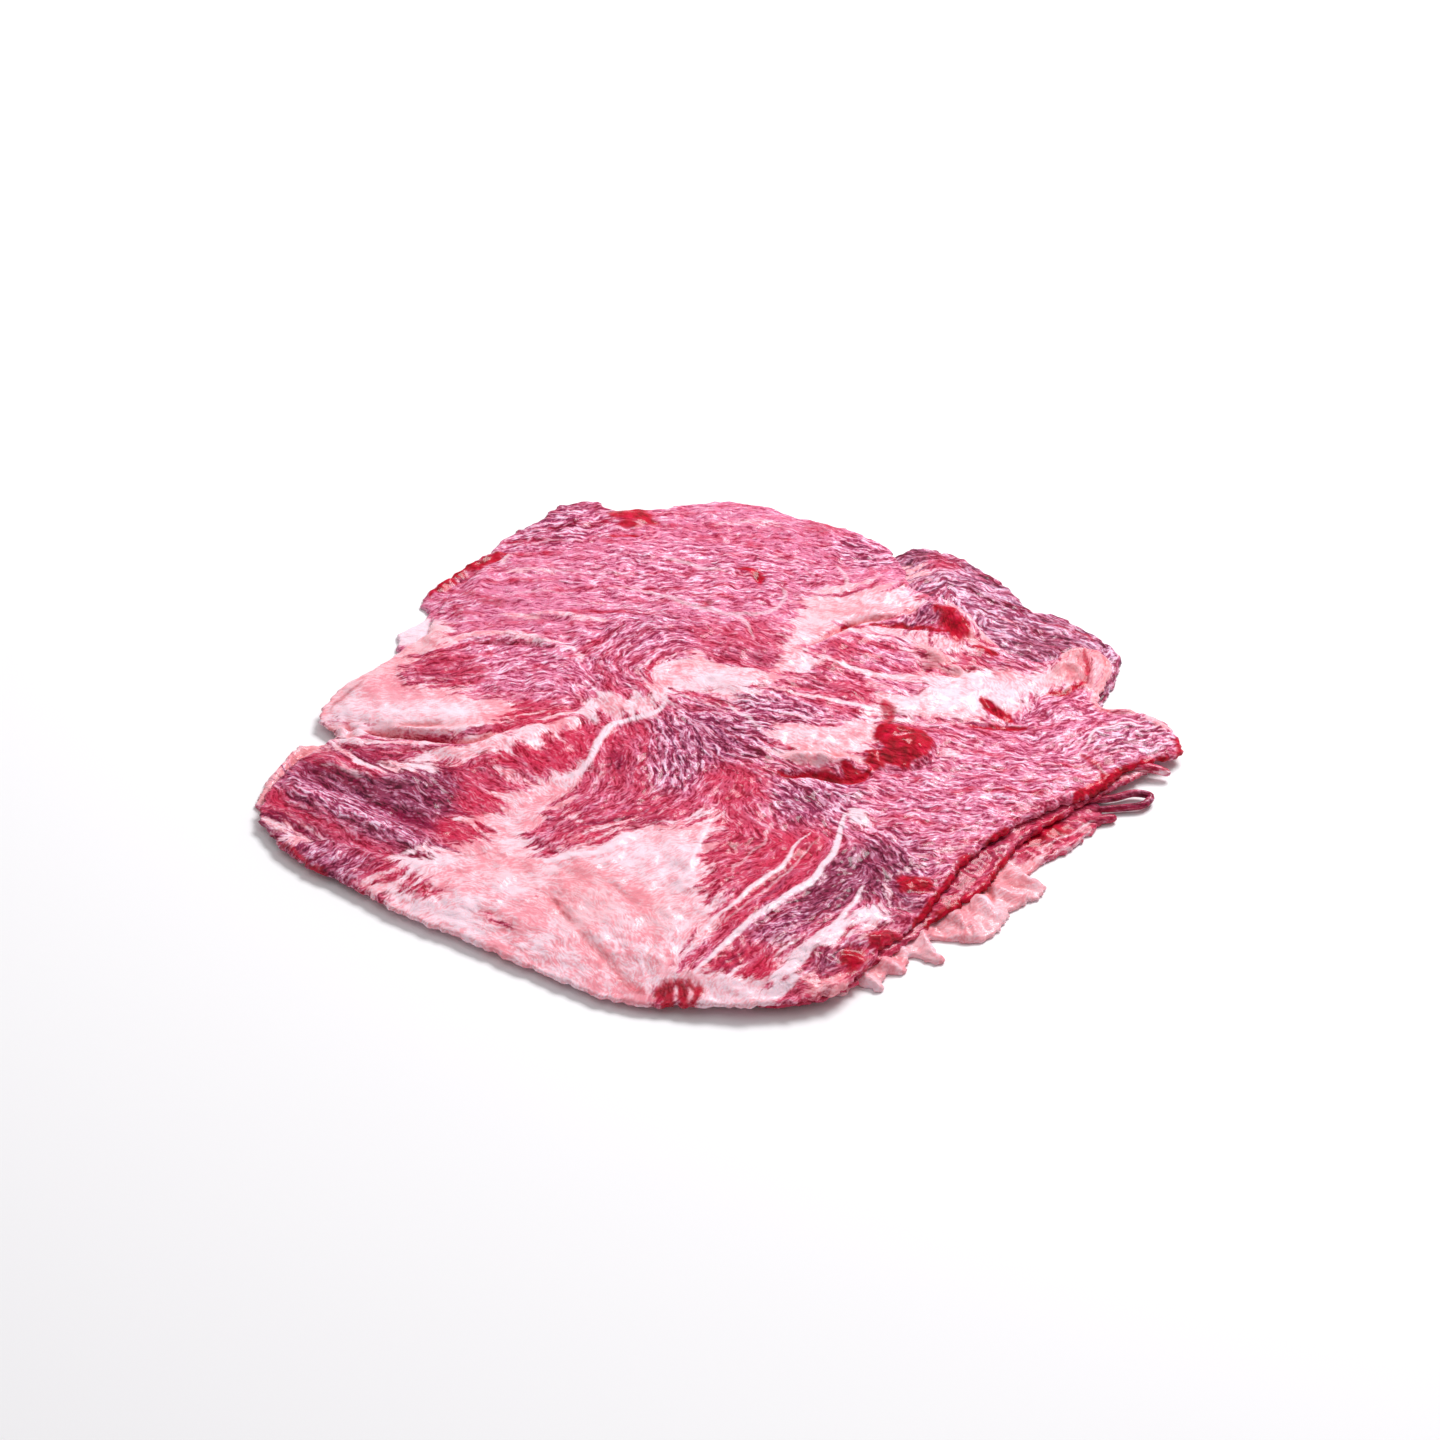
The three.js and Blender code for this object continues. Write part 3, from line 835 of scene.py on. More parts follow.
@dataclass
class Cutter:
    """Makes the closed mesh of a slice from its heights, relief and marbling."""

    heights: Ground
    layout: Ground
    weave: Weave
    spinner: Spinner
    rim: float = 0.9
    low_rim: float = 0.6
    upper_rings: tuple[float, ...] = (0.14, 0.4, 0.7)
    lower_rings: tuple[float, ...] = (0.25, 0.6)
    coarse_pitch: float = 3.0
    hidden_from: float = 5.0
    buried_from: float = 5.6
    middle_share: float = 0.42
    thinnest: float = 0.5

    def at(self, raster: Array, points: Array) -> Array:
        """A raster of the heights' ground, read at points."""
        return self.heights.sample(raster, points[:, 0], points[:, 1])

    def hex_points(self, low: Array, high: Array, pitch: float, seed: int) -> Array:
        """Points of a jittered hexagonal grid.

        Args:
            low: Lowest corner.
            high: Highest corner.
            pitch: Spacing.
            seed: Seed of the jitter.

        Returns:
            The points.
        """
        xs = np.arange(low[0], high[0], pitch)
        ys = np.arange(low[1], high[1], pitch * 0.866)
        x, y = np.meshgrid(xs, ys)
        x[1::2] += 0.5 * pitch
        points = np.column_stack([x.ravel(), y.ravel()])
        return points + np.random.default_rng(seed).uniform(-0.16, 0.16, points.shape) * pitch

    def fill(self, loop: Array, inner: list[Array]) -> tuple[Array, Array]:
        """Triangulates a loop and points inside it.

        Args:
            loop: The loop's points.
            inner: Points inside, in several lots.

        Returns:
            All points, the loop's first, and the triangles.
        """
        spots = [Vector(p) for p in np.vstack([loop, *inner]).tolist()]
        edges = [(i, (i + 1) % len(loop)) for i in range(len(loop))]
        out, _, faces, *_ = delaunay_2d_cdt(spots, edges, [], 1, 1e-5)
        return np.array([tuple(p) for p in out]), np.array(faces)

    def net(self, piece: Slice, inside: Array, cover: Array) -> tuple[Array, Array, Array, Array]:
        """Spreads points over both sides, fine where they show and coarse where they don't.

        Args:
            piece: The slice.
            inside: Raster of the depth inside its outline.
            cover: Raster of the depth under the slices over it.

        Returns:
            Points and triangles of the upper side, then those of the underside.
        """
        loop = piece.loop
        normal = np.roll(loop, -1, axis=0) - np.roll(loop, 1, axis=0)
        normal = np.column_stack([normal[:, 1], -normal[:, 0]])
        normal /= np.linalg.norm(normal, axis=1)[:, None]

        def ring(offset: float) -> Array:
            """Points this far inside the loop, without those that come near another part of it."""
            spots = loop + normal * offset
            return spots[self.at(inside, spots) > 0.6 * offset]

        fine = self.hex_points(loop.min(0), loop.max(0), piece.pitch, piece.seed)
        shown = (self.at(inside, fine) > self.rim) & ~(self.at(cover, fine) > self.hidden_from)
        coarse = self.hex_points(loop.min(0), loop.max(0), self.coarse_pitch, piece.seed)
        buried = (self.at(inside, coarse) > 2.0) & (self.at(cover, coarse) > self.buried_from)
        flat = coarse[self.at(inside, coarse) > 1.6]
        upper = self.fill(loop, [*map(ring, self.upper_rings), fine[shown], coarse[buried]])
        lower = self.fill(loop, [*map(ring, self.lower_rings), flat])
        return *upper, *lower

    def read(self, marbling: Marbling, x: Array, y: Array) -> dict[str, Array]:
        """Every kind's level at places of the layout plane."""
        return {kind.value: self.layout.sample(values, x, y) for kind, values in marbling.fields.items()}

    def uneven(self, piece: Slice, forms: Array, x: Array, y: Array, levels_here: dict[str, Array]) -> Array:
        """Relief of the upper side: folds, lumps, bumps, dents and fibre bundles.

        Args:
            piece: The slice.
            forms: Height of its folds and lumps over the layout plane.
            x: Points' x on the layout plane.
            y: Points' y on the layout plane.
            levels_here: The kinds' levels at the points.

        Returns:
            The relief's height at the points.
        """
        relief = self.layout.sample(forms, x, y)
        bumps = self.layout.sample(self.layout.noise(9.0, piece.seed + 70), x, y)
        dents = self.layout.sample(self.layout.noise(3.4, piece.seed + 71), x, y)
        fibre = self.layout.sample(self.weave.fibres, x, y)
        lean = (1.0 - levels_here["fat"]) * (1.0 - levels_here["white"])
        relief = relief + 0.16 * bumps + 0.07 * dents
        return relief + levels_here["fibre"] * (0.02 + 0.09 * lean) * fibre

    def cut(self, piece: Slice, above: list[Slice]) -> bpy.types.Object:
        """Builds one slice's mesh.

        Args:
            piece: The slice.
            above: The slices over it.

        Returns:
            Its object.
        """
        ground = self.heights
        inside = depth_inside(ground.x, ground.y, curve_through(piece.loop, 0.9, True))
        cover = np.full(ground.x.shape, -99.0)
        for other in above:
            cover = np.maximum(cover, other.depth)
        upper, upper_faces, lower, lower_faces = self.net(piece, inside, cover)
        count = len(piece.loop)
        marbling = Marbling(self.weave, piece.shade, piece.features)
        marbling.paint()
        forms = piece.relief(self.layout)
        # painted shade in the creases and a painted highlight on the crests
        marbling.soak_and_paint_shade(forms)

        def depth_of(points: Array) -> Array:
            """Depth of points inside the loop, exactly 0 for those of the loop, which come first."""
            depth = np.maximum(self.at(inside, points), 0.0)
            return np.where(np.arange(len(points)) < count, 0.0, depth)

        base, under = self.at(piece.top, upper), self.at(piece.underside, upper)
        x, y = laid_out(upper, base)
        parts = [self.read(marbling, x, y)]
        relief = self.uneven(piece, forms, x, y, parts[0])
        depth = depth_of(upper)
        showing = 1.0 - smooth(self.at(cover, upper), 0.5, 4.5)
        thick = np.maximum(base - under + relief * showing * smooth(depth, -0.3, 1.3), self.thinnest)
        z = lerp(under + self.middle_share * thick, under + thick, rounded(depth, self.rim))
        floor = self.at(piece.underside, lower)
        low_z = np.concatenate([z[:count], floor[count:]])
        low_z = lerp(low_z, floor, rounded(depth_of(lower), self.low_rim))
        points = np.vstack([np.column_stack([upper, z]), np.column_stack([lower[count:], low_z[count:]])])
        shifted = np.where(lower_faces < count, lower_faces, lower_faces + len(upper) - count)
        faces = np.vstack([upper_faces, shifted[:, ::-1]])
        parts.append(self.read(marbling, *laid_out(lower[count:], self.at(piece.top, lower)[count:])))
        for strand in piece.strands:
            more, tube = self.spinner.sweep(strand)
            faces = np.vstack([faces, tube + len(points)])
            points = np.vstack([points, more])
            parts.append(self.read(marbling, *laid_out(more, more[:, 2])))
        attributes = {kind.value: np.concatenate([part[kind.value] for part in parts]) for kind in Kind}
        extra = len(points) - len(upper)
        # height of the fibre ridges, which the finish turns into painted shade in their valleys and painted
        # sheen on their crests
        ridge = self.layout.sample(self.weave.fibres, x, y)
        attributes["ridge"] = np.concatenate([ridge, np.zeros(extra)])
        gx = self.layout.sample(self.weave.grain.dx, x, y)
        gy = self.layout.sample(self.weave.grain.dy, x, y)
        direction = np.column_stack([gx, gy, np.zeros(len(gx))])
        attributes["grain"] = np.vstack([direction, np.tile([1.0, 0.0, 0.0], (extra, 1))])
        return mesh_object(piece.name, points, faces, attributes)


Colour = tuple[float, float, float]


@dataclass(frozen=True)
class Tone:
    """The colours of one kind of lean: between the threads, partly painted shade; on them; and of the film
    over them, partly painted sheen.
    """

    deep: Colour
    mid: Colour
    film_and_sheen: Colour


@dataclass(frozen=True)
class Nodes:
    """Adds nodes to a material's tree."""

    tree: bpy.types.NodeTree

    def add(self, kind: str, **settings: object) -> bpy.types.Node:
        """Adds a node.

        Args:
            kind: Blender's name of the node.
            **settings: Its properties.

        Returns:
            The node.
        """
        made = self.tree.nodes.new(kind)
        for key, value in settings.items():
            setattr(made, key, value)
        return made

    def plug(self, socket: bpy.types.NodeSocket, value: object) -> None:
        """Links a socket, or sets its number.

        Args:
            socket: The input.
            value: An output to link, or the number.
        """
        if isinstance(value, bpy.types.NodeSocket):
            self.tree.links.new(value, socket)
        else:
            socket.default_value = value

    def level(self, label: str) -> bpy.types.NodeSocket:
        """One of the mesh's own levels."""
        return self.add("ShaderNodeAttribute", attribute_name=label).outputs["Fac"]

    def fed(self, made: bpy.types.Node, *values: object) -> bpy.types.NodeSocket:
        """Plugs a node's first inputs in order.

        Args:
            made: The node.
            *values: The inputs, None for one that is left as it is.

        Returns:
            Its first output.
        """
        for socket, value in zip(made.inputs, values):
            if value is not None:
                self.plug(socket, value)
        return made.outputs[0]

    def calc(self, operation: str, a: object, b: object = 0.0, c: object = 0.0) -> bpy.types.NodeSocket:
        """A sum of two or three values."""
        return self.fed(self.add("ShaderNodeMath", operation=operation), a, b, c)

    def vector(self, operation: str, a: object, b: object, c: object = None) -> bpy.types.NodeSocket:
        """A sum of two or three vectors."""
        return self.fed(self.add("ShaderNodeVectorMath", operation=operation), a, b, c)

    def ramp(self, value: object, low: float, high: float, first: float = 0.0,
             last: float = 1.0) -> bpy.types.NodeSocket:
        """A smooth step of a value."""
        made = self.add("ShaderNodeMapRange", interpolation_type="SMOOTHSTEP")
        return self.fed(made, value, low, high, first, last)

    def mix(self, a: object, b: object, by: object) -> bpy.types.NodeSocket:
        """Mixes two colours.

        Args:
            a: The first, as numbers or an output.
            b: The second.
            by: Share of the second.

        Returns:
            The mix.
        """
        made = self.add("ShaderNodeMix", data_type="RGBA", clamp_factor=True)
        self.plug(made.inputs[0], by)
        for slot, colour in ((6, a), (7, b)):
            if not isinstance(colour, bpy.types.NodeSocket):
                colour = (*colour, 1.0)
            self.plug(made.inputs[slot], colour)
        return made.outputs[2]

    def noise(self, place: object, scale: float, detail: float = 0.0,
              output: str = "Fac") -> bpy.types.NodeSocket:
        """Noise with this many features to the metre.

        Args:
            place: Where it is read.
            scale: Features to the metre.
            detail: Finer layers.
            output: Fac for numbers, Color for vectors.

        Returns:
            The noise.
        """
        made = self.add("ShaderNodeTexNoise")
        for label, value in (("Vector", place), ("Scale", scale), ("Detail", detail)):
            self.plug(made.inputs[label], value)
        return made.outputs[output]


@dataclass(frozen=True)
class Meat:
    """The finish of raw, moist beef: lean, fat and sinew in one, mixed by the mesh's own levels."""

    # the last colour of each tone, the pale film, is partly painted sheen on the threads
    red: Tone = Tone((0.34, 0.000, 0.020), (0.62, 0.024, 0.080), (0.98, 0.46, 0.60))
    pink: Tone = Tone((0.40, 0.035, 0.105), (0.76, 0.220, 0.375), (0.99, 0.66, 0.84))
    dark: Tone = Tone((0.09, 0.000, 0.012), (0.24, 0.003, 0.042), (0.82, 0.38, 0.58))
    mauve: Tone = Tone((0.18, 0.016, 0.080), (0.54, 0.165, 0.310), (0.90, 0.62, 0.80))
    wet: Tone = Tone((0.30, 0.000, 0.008), (0.50, 0.000, 0.020), (0.66, 0.004, 0.045))
    fat: Colour = (0.90, 0.31, 0.38)
    fat_pale: Colour = (0.98, 0.70, 0.80)
    warm: Colour = (0.88, 0.27, 0.29)
    sinew: Colour = (0.98, 0.70, 0.80)
    roughness: float = 0.5
    coat: float = 0.3
    coat_roughness: float = 0.15
    specular: float = 0.05
    glow: float = 0.2
    glow_radius: Colour = (1.0, 0.35, 0.3)
    glow_scale: float = 0.0007
    relief: float = 0.00032

    def build(self, name: str) -> bpy.types.Material:
        """Makes the material.

        Args:
            name: Its name.

        Returns:
            The material.
        """
        material = bpy.data.materials.new(name)
        material.use_nodes = True
        tree = material.node_tree
        tree.nodes.clear()
        nodes = Nodes(tree)
        calc, mix, ramp, noise, level = nodes.calc, nodes.mix, nodes.ramp, nodes.noise, nodes.level

        place = nodes.add("ShaderNodeTexCoord").outputs["Object"]
        grain = nodes.add("ShaderNodeAttribute", attribute_name="grain").outputs["Vector"]
        crimp = noise(place, 300.0, output="Color")
        bent = nodes.vector("MULTIPLY_ADD", crimp, (0.0014, 0.0014, 0.0), place)

        def threads(scale: float, step: float, reach: int) -> bpy.types.NodeSocket:
            """Noise smeared along the grain, less its mean.

            Args:
                scale: Features to the metre.
                step: How far apart it is read, in metres.
                reach: How many steps to each side.

            Returns:
                The threads, about -0.5 to 0.5.
            """
            total = None
            for k in range(-reach, reach + 1):
                spot = nodes.vector("MULTIPLY_ADD", grain, (k * step,) * 3, bent)
                here = noise(spot, scale)
                total = here if total is None else calc("ADD", total, here)
            count = 2 * reach + 1
            return calc("SUBTRACT", ramp(total, 0.38 * count, 0.62 * count), 0.5)

        crinkle = threads(1050.0, 0.00042, 3)
        fleck = threads(2200.0, 0.0003, 1)
        fine = noise(place, 2600.0, 1.0)
        small = noise(place, 520.0, 2.0)
        broad = noise(place, 130.0, 2.0)

        # lean, from red to purple and from bare to milky
        vivid = level("fibre")
        milk = level("milk")
        tone = ramp(calc("MULTIPLY_ADD", small, 0.3, calc("SUBTRACT", level("dark"), 0.15)), 0.1, 0.9)
        # the threads and the fibre ridges set the colour: darker in their valleys, partly painted shade, and
        # a pale film on them, partly painted sheen
        wave = calc("MULTIPLY_ADD", crinkle, 0.75, calc("MULTIPLY", level("ridge"), 0.16))
        speck = calc("MULTIPLY", fleck, calc("MULTIPLY_ADD", vivid, 0.2, 0.22))
        strength = calc("ADD", calc("MULTIPLY_ADD", wave, vivid, 0.5), speck)
        deep = ramp(strength, 0.50, 0.22)
        film_and_sheen = calc("MULTIPLY", ramp(strength, 0.55, 0.88), calc("MULTIPLY_ADD", milk, 0.6, 0.4))

        def lean_of(bare: Tone, milky: Tone) -> bpy.types.NodeSocket:
            """Lean between two tones, by its milkiness.

            Args:
                bare: Tone without milk.
                milky: Tone with all of it.

            Returns:
                The colour.
            """
            low = mix(bare.deep, milky.deep, milk)
            mid = mix(bare.mid, milky.mid, milk)
            high = mix(bare.film_and_sheen, milky.film_and_sheen, milk)
            return mix(mix(mid, low, deep), high, film_and_sheen)

        lean = mix(lean_of(self.red, self.pink), lean_of(self.dark, self.mauve), tone)

        # fat, sinew and juice over it
        fat_edge = calc("MULTIPLY_ADD", fleck, 0.22, calc("MULTIPLY_ADD", small, 0.3, -0.15))
        fat = ramp(calc("ADD", level("fat"), fat_edge), 0.08, 0.92)
        white = ramp(calc("ADD", level("white"), calc("MULTIPLY", fat_edge, 0.35)), 0.12, 0.85)
        mottle = calc("MULTIPLY_ADD", small, 0.35, calc("MULTIPLY", fleck, 0.2))
        pale = ramp(calc("ADD", broad, mottle), 0.44, 0.88)
        plump = mix(self.fat, self.fat_pale, pale)
        plump = mix(plump, self.warm, calc("MULTIPLY", level("salmon"), ramp(broad, 0.2, 0.8, 0.6, 1.0)))
        colour = mix(lean, plump, fat)
        colour = mix(colour, self.sinew, white)
        soaked = mix(self.wet.mid, self.wet.deep, ramp(small, 0.5, 0.36))
        soaked = mix(soaked, self.wet.film_and_sheen, ramp(small, 0.54, 0.7))
        colour = mix(colour, soaked, ramp(level("red"), 0.03, 0.75))

        # fine relief
        threadlike = calc("MULTIPLY_ADD", fleck, 0.3, crinkle)
        depth = calc("MULTIPLY", calc("MULTIPLY_ADD", vivid, 0.8, 0.2), ramp(fat, 0.0, 1.0, 1.0, 0.3))
        lift = calc("MULTIPLY_ADD", fine, 0.08, calc("MULTIPLY", threadlike, depth))
        lift = calc("MULTIPLY_ADD", small, calc("MULTIPLY_ADD", fat, -0.14, 0.2), lift)
        bump = nodes.add("ShaderNodeBump")
        nodes.plug(bump.inputs["Height"], lift)
        bump.inputs["Strength"].default_value = 1.0
        bump.inputs["Distance"].default_value = self.relief

        shader = nodes.add("ShaderNodeBsdfPrincipled")
        settings = {"Base Color": colour, "Normal": bump.outputs[0], "Roughness": self.roughness,
                    "Subsurface Weight": self.glow, "Subsurface Radius": self.glow_radius,
                    "Subsurface Scale": self.glow_scale, "Specular IOR Level": self.specular,
                    "Coat Weight": self.coat, "Coat Roughness": self.coat_roughness}
        for label, value in settings.items():
            nodes.plug(shader.inputs[label], value)
        tree.links.new(shader.outputs[0], nodes.add("ShaderNodeOutputMaterial").inputs[0])
        return material


@dataclass(frozen=True)
class Lamp:
    """A soft rectangular lamp that faces the slices, in metres and watts."""

    name: str
    place: tuple[float, float, float]
    size: tuple[float, float]
    power: float

    def build(self) -> None:
        """Makes the lamp."""
        data = bpy.data.lights.new(self.name, "AREA")
        data.shape = "RECTANGLE"
        data.size, data.size_y = self.size
        data.energy = self.power
        lamp = bpy.data.objects.new(self.name, data)
        bpy.context.scene.collection.objects.link(lamp)
        lamp.location = self.place
        lamp.rotation_euler = (-Vector(self.place)).to_track_quat("-Z", "Y").to_euler()


@dataclass(frozen=True)
class Studio:
    """A pale floor, soft lights and the camera, in metres and degrees."""

    distance: float = 1.3
    elevation: float = 37.89
    roll: float = 1.436
    lens: float = 149.2
    target: tuple[float, float, float] = (-0.0009, 0.008, 0.0035)
    shift: tuple[float, float] = (-0.0003, -0.0052)
    floor_half: float = 6.0
    floor_colour: Colour = (0.93, 0.93, 0.95)
    sky_colour: Colour = (1.0, 0.955, 0.96)
    sky_strength: float = 0.34
    lamps: tuple[Lamp, ...] = (
        Lamp("back_panel", (0.36, 0.45, 0.70), (0.50, 0.30), 8.4),
        Lamp("top_panel", (-0.30, -0.10, 0.95), (0.9, 0.9), 1.7),
    )

    def build(self) -> None:
        """Makes the camera, the floor, the lamps and the sky."""
        self._camera()
        self._floor()
        for lamp in self.lamps:
            lamp.build()
        world = bpy.data.worlds.new("studio")
        bpy.context.scene.world = world
        world.use_nodes = True
        sky = world.node_tree.nodes["Background"]
        sky.inputs["Color"].default_value = (*self.sky_colour, 1.0)
        sky.inputs["Strength"].default_value = self.sky_strength
        bpy.context.scene.view_settings.view_transform = "Standard"

    def _camera(self) -> None:
        """Looks down on the slices from the front."""
        data = bpy.data.cameras.new("camera")
        camera = bpy.data.objects.new("camera", data)
        bpy.context.scene.collection.objects.link(camera)
        bpy.context.scene.camera = camera
        e = math.radians(self.elevation)
        back = Vector((0.0, -math.cos(e), math.sin(e)))
        camera.location = Vector(self.target) + back * self.distance
        turn = (-back).to_track_quat("-Z", "Y").to_matrix()
        roll = math.radians(self.roll)
        side = turn.col[0] * math.cos(roll) + turn.col[1] * math.sin(roll)
        up = turn.col[1] * math.cos(roll) - turn.col[0] * math.sin(roll)
        turn.col[0], turn.col[1] = side, up
        camera.rotation_euler = turn.to_euler()
        data.sensor_width = 36.0
        data.lens = self.lens
        data.shift_x, data.shift_y = self.shift
        data.clip_start, data.clip_end = 0.05, 20.0

    def _floor(self) -> None:
        """Lays a large pale floor."""
        mesh = bpy.data.meshes.new("floor")
        half = self.floor_half
        corners = [(-half, -half, 0), (half, -half, 0), (half, half, 0), (-half, half, 0)]
        mesh.from_pydata(corners, [], [(0, 1, 2, 3)])
        floor = bpy.data.objects.new("floor", mesh)
        bpy.context.scene.collection.objects.link(floor)
        material = bpy.data.materials.new("floor")
        material.use_nodes = True
        shader = material.node_tree.nodes["Principled BSDF"]
        shader.inputs["Base Color"].default_value = (*self.floor_colour, 1.0)
        shader.inputs["Roughness"].default_value = 0.7
        mesh.materials.append(material)


k = Shade  # short, for the lists of features

BOTTOM_FEATURES = [
    # far right lean
    Patch(k.CRINKLED_SHEEN, [(32, 70), (44, 69), (60, 56), (68, 46), (84, 37), (88, 28), (80, 26), (62, 34),
        (48, 48)], 3, 0.8),
    Patch(k.PURPLE, [(38, 63), (42, 67), (46, 67), (46, 62), (41, 60)], 1.5, 0.8),
    Patch(k.CRIMSON, [(46, 66), (50, 65), (52, 62), (49, 60), (45, 62)], 1.5),
    Patch(k.MAROON, [(66, 35), (76, 36), (78, 30), (70, 27), (64, 30)], 2.5, 0.6),
    Patch(k.SALMON, [(37, 60), (43, 61), (44, 57), (38, 56)], 1.2, 0.6),
    Streak(k.THIN_FAT, [(37, 52), (41, 55.6), (46, 59.4)], 1.2),
    Streak(k.THIN_FAT, [(61, 42.6), (66, 39)], 1),
    Streak(k.STAIN_AND_SHADE, [(70, 41.4), (76, 38.6), (82, 35.4)], 1),
    Streak(k.MAROON, [(31, 71), (35, 67.4), (38, 65.4), (42, 68.6), (46, 66.4), (52, 62.6), (60, 56.4),
        (65, 51.6), (66.2, 46.4), (72, 44.6), (77, 40.2), (82.6, 36.4), (86.2, 30)], 1.8, 0.5, 0.8),
    # near right lean
    Patch(k.CRIMSON, [(58, -22), (90, -16), (90, -28), (82, -36), (72, -44), (60, -46)], 2),
    Patch(k.WET, [(64, -28), (72, -27), (74, -33), (66, -38), (62, -36)], 1.5, 0.7),
    Patch(k.MAROON, [(78, -22), (94, -18), (94, -26), (80, -27)], 1.5, 0.8, 0.6),
    Streak(k.THIN_SINEW, [(66, -40), (70, -37), (75, -33), (80, -28)], 0.8),
    Streak(k.THIN_SINEW, [(70, -41), (75, -37), (80, -31)], 0.7),
    # frill
    Patch(k.FAT, [(58, -44), (64, -43.6), (74, -41), (76, -43), (70, -60), (60, -74), (40, -90), (26, -92),
        (24, -84), (34, -74), (42, -66), (48, -58), (54, -50)], 0.8),
    Patch(k.BLUSH, [(58, -44), (78, -42), (72, -62), (50, -80), (26, -96), (24, -82), (44, -66)], 2),
    Streak(k.STAIN_AND_SHADE, [(62, -46), (57, -52), (52, -58), (47, -64), (42, -69)], 4, 0.8, 0.7),
    # painted highlights along the crests of the frill's pleats
    Streak(k.SINEW_AND_HIGHLIGHT, [(54, -55), (57, -58), (58, -62)], 2, 0.8, 0.5),
    Streak(k.SINEW_AND_HIGHLIGHT, [(63, -49), (66, -51), (68, -52)], 1.4, 0.8, 0.5),
    Streak(k.SINEW_AND_HIGHLIGHT, [(36, -78), (37.6, -80), (38, -82)], 1.6, 0.8, 0.5),
]

BOTTOM_FOLDS = [
    Fold([(60, -47), (64, -49.6), (68, -51)], 1.7, 1.5), Fold([(56, -51), (60, -54), (66, -55.6)], 1.7, 1.2),
    Fold([(56, -50), (57, -56), (58, -62)], 0.7, -0.9), Fold([(52, -55), (56, -58.6), (59, -63)], 2.2, 1.6),
    Fold([(47.6, -60), (51.6, -65), (54, -70)], 1.7, 1.4),
    Fold([(51, -63), (52.4, -67), (53, -70)], 0.6, -0.8),
    Fold([(41, -66), (44, -71), (46.4, -76.4)], 1.8, 1.5), Fold([(37, -71), (39, -75), (42, -77)], 1.5, 1.1),
    Fold([(33, -75), (35, -79), (37.4, -82.4)], 1.8, 1.4), Fold([(29, -79), (31, -84), (34, -87)], 1.5, 1.2),
    Fold([(66, -42.6), (69, -42.4), (72, -41.4)], 1.2, 0.8),
]


def bottom_slice() -> Slice:
    """The lowest slice: dark lean at the far right, fat frill at the near right.

    Returns:
        Its drawn outline and features.
    """
    return Slice(
        name="bottom_slice",
        slot="dark_lean",
        raggedness=0.6,
        seed=3,
        outline=[
            (12, 40), (24, 53), (36.6, 62.6), (43, 67), (50.6, 65.4), (63.4, 54.4), (68.2, 45), (75, 43),
            (82, 37), (87.6, 29.6), (87.4, 21), (80, 0), (78, -14), (79, -21), (82.5, -26), (80.6, -33),
            (74.6, -40), (67, -46), (66, -50), (69.3, -51.2), (68.6, -55.5), (61.6, -60.4), (60.6, -64),
            (54.6, -71), (45.2, -70.4), (47.2, -77.6), (40.6, -76), (39.6, -81.4), (35.5, -82.6),
            (34.6, -87), (29, -85), (26, -89), (12, -84), (-9, -64), (-15, -38), (2, -12), (-5, 14),
        ],
        shade=k.LILAC,
        features=BOTTOM_FEATURES,
        folds=BOTTOM_FOLDS,
        strands=[
            Strand([(76.1, -17.6, 1.6), (84, -15.8, 1.4), (88.6, -14.2, 1.6), (92, -15.2, 1.6),
                (90.4, -17.8, 1.4), (86, -18.8, 1.2), (78.6, -20, 1.2)], 0.85),
            Strand([(77.6, -23.6, 1.2), (84.4, -22.2, 1.1)], 1),
        ],
    )


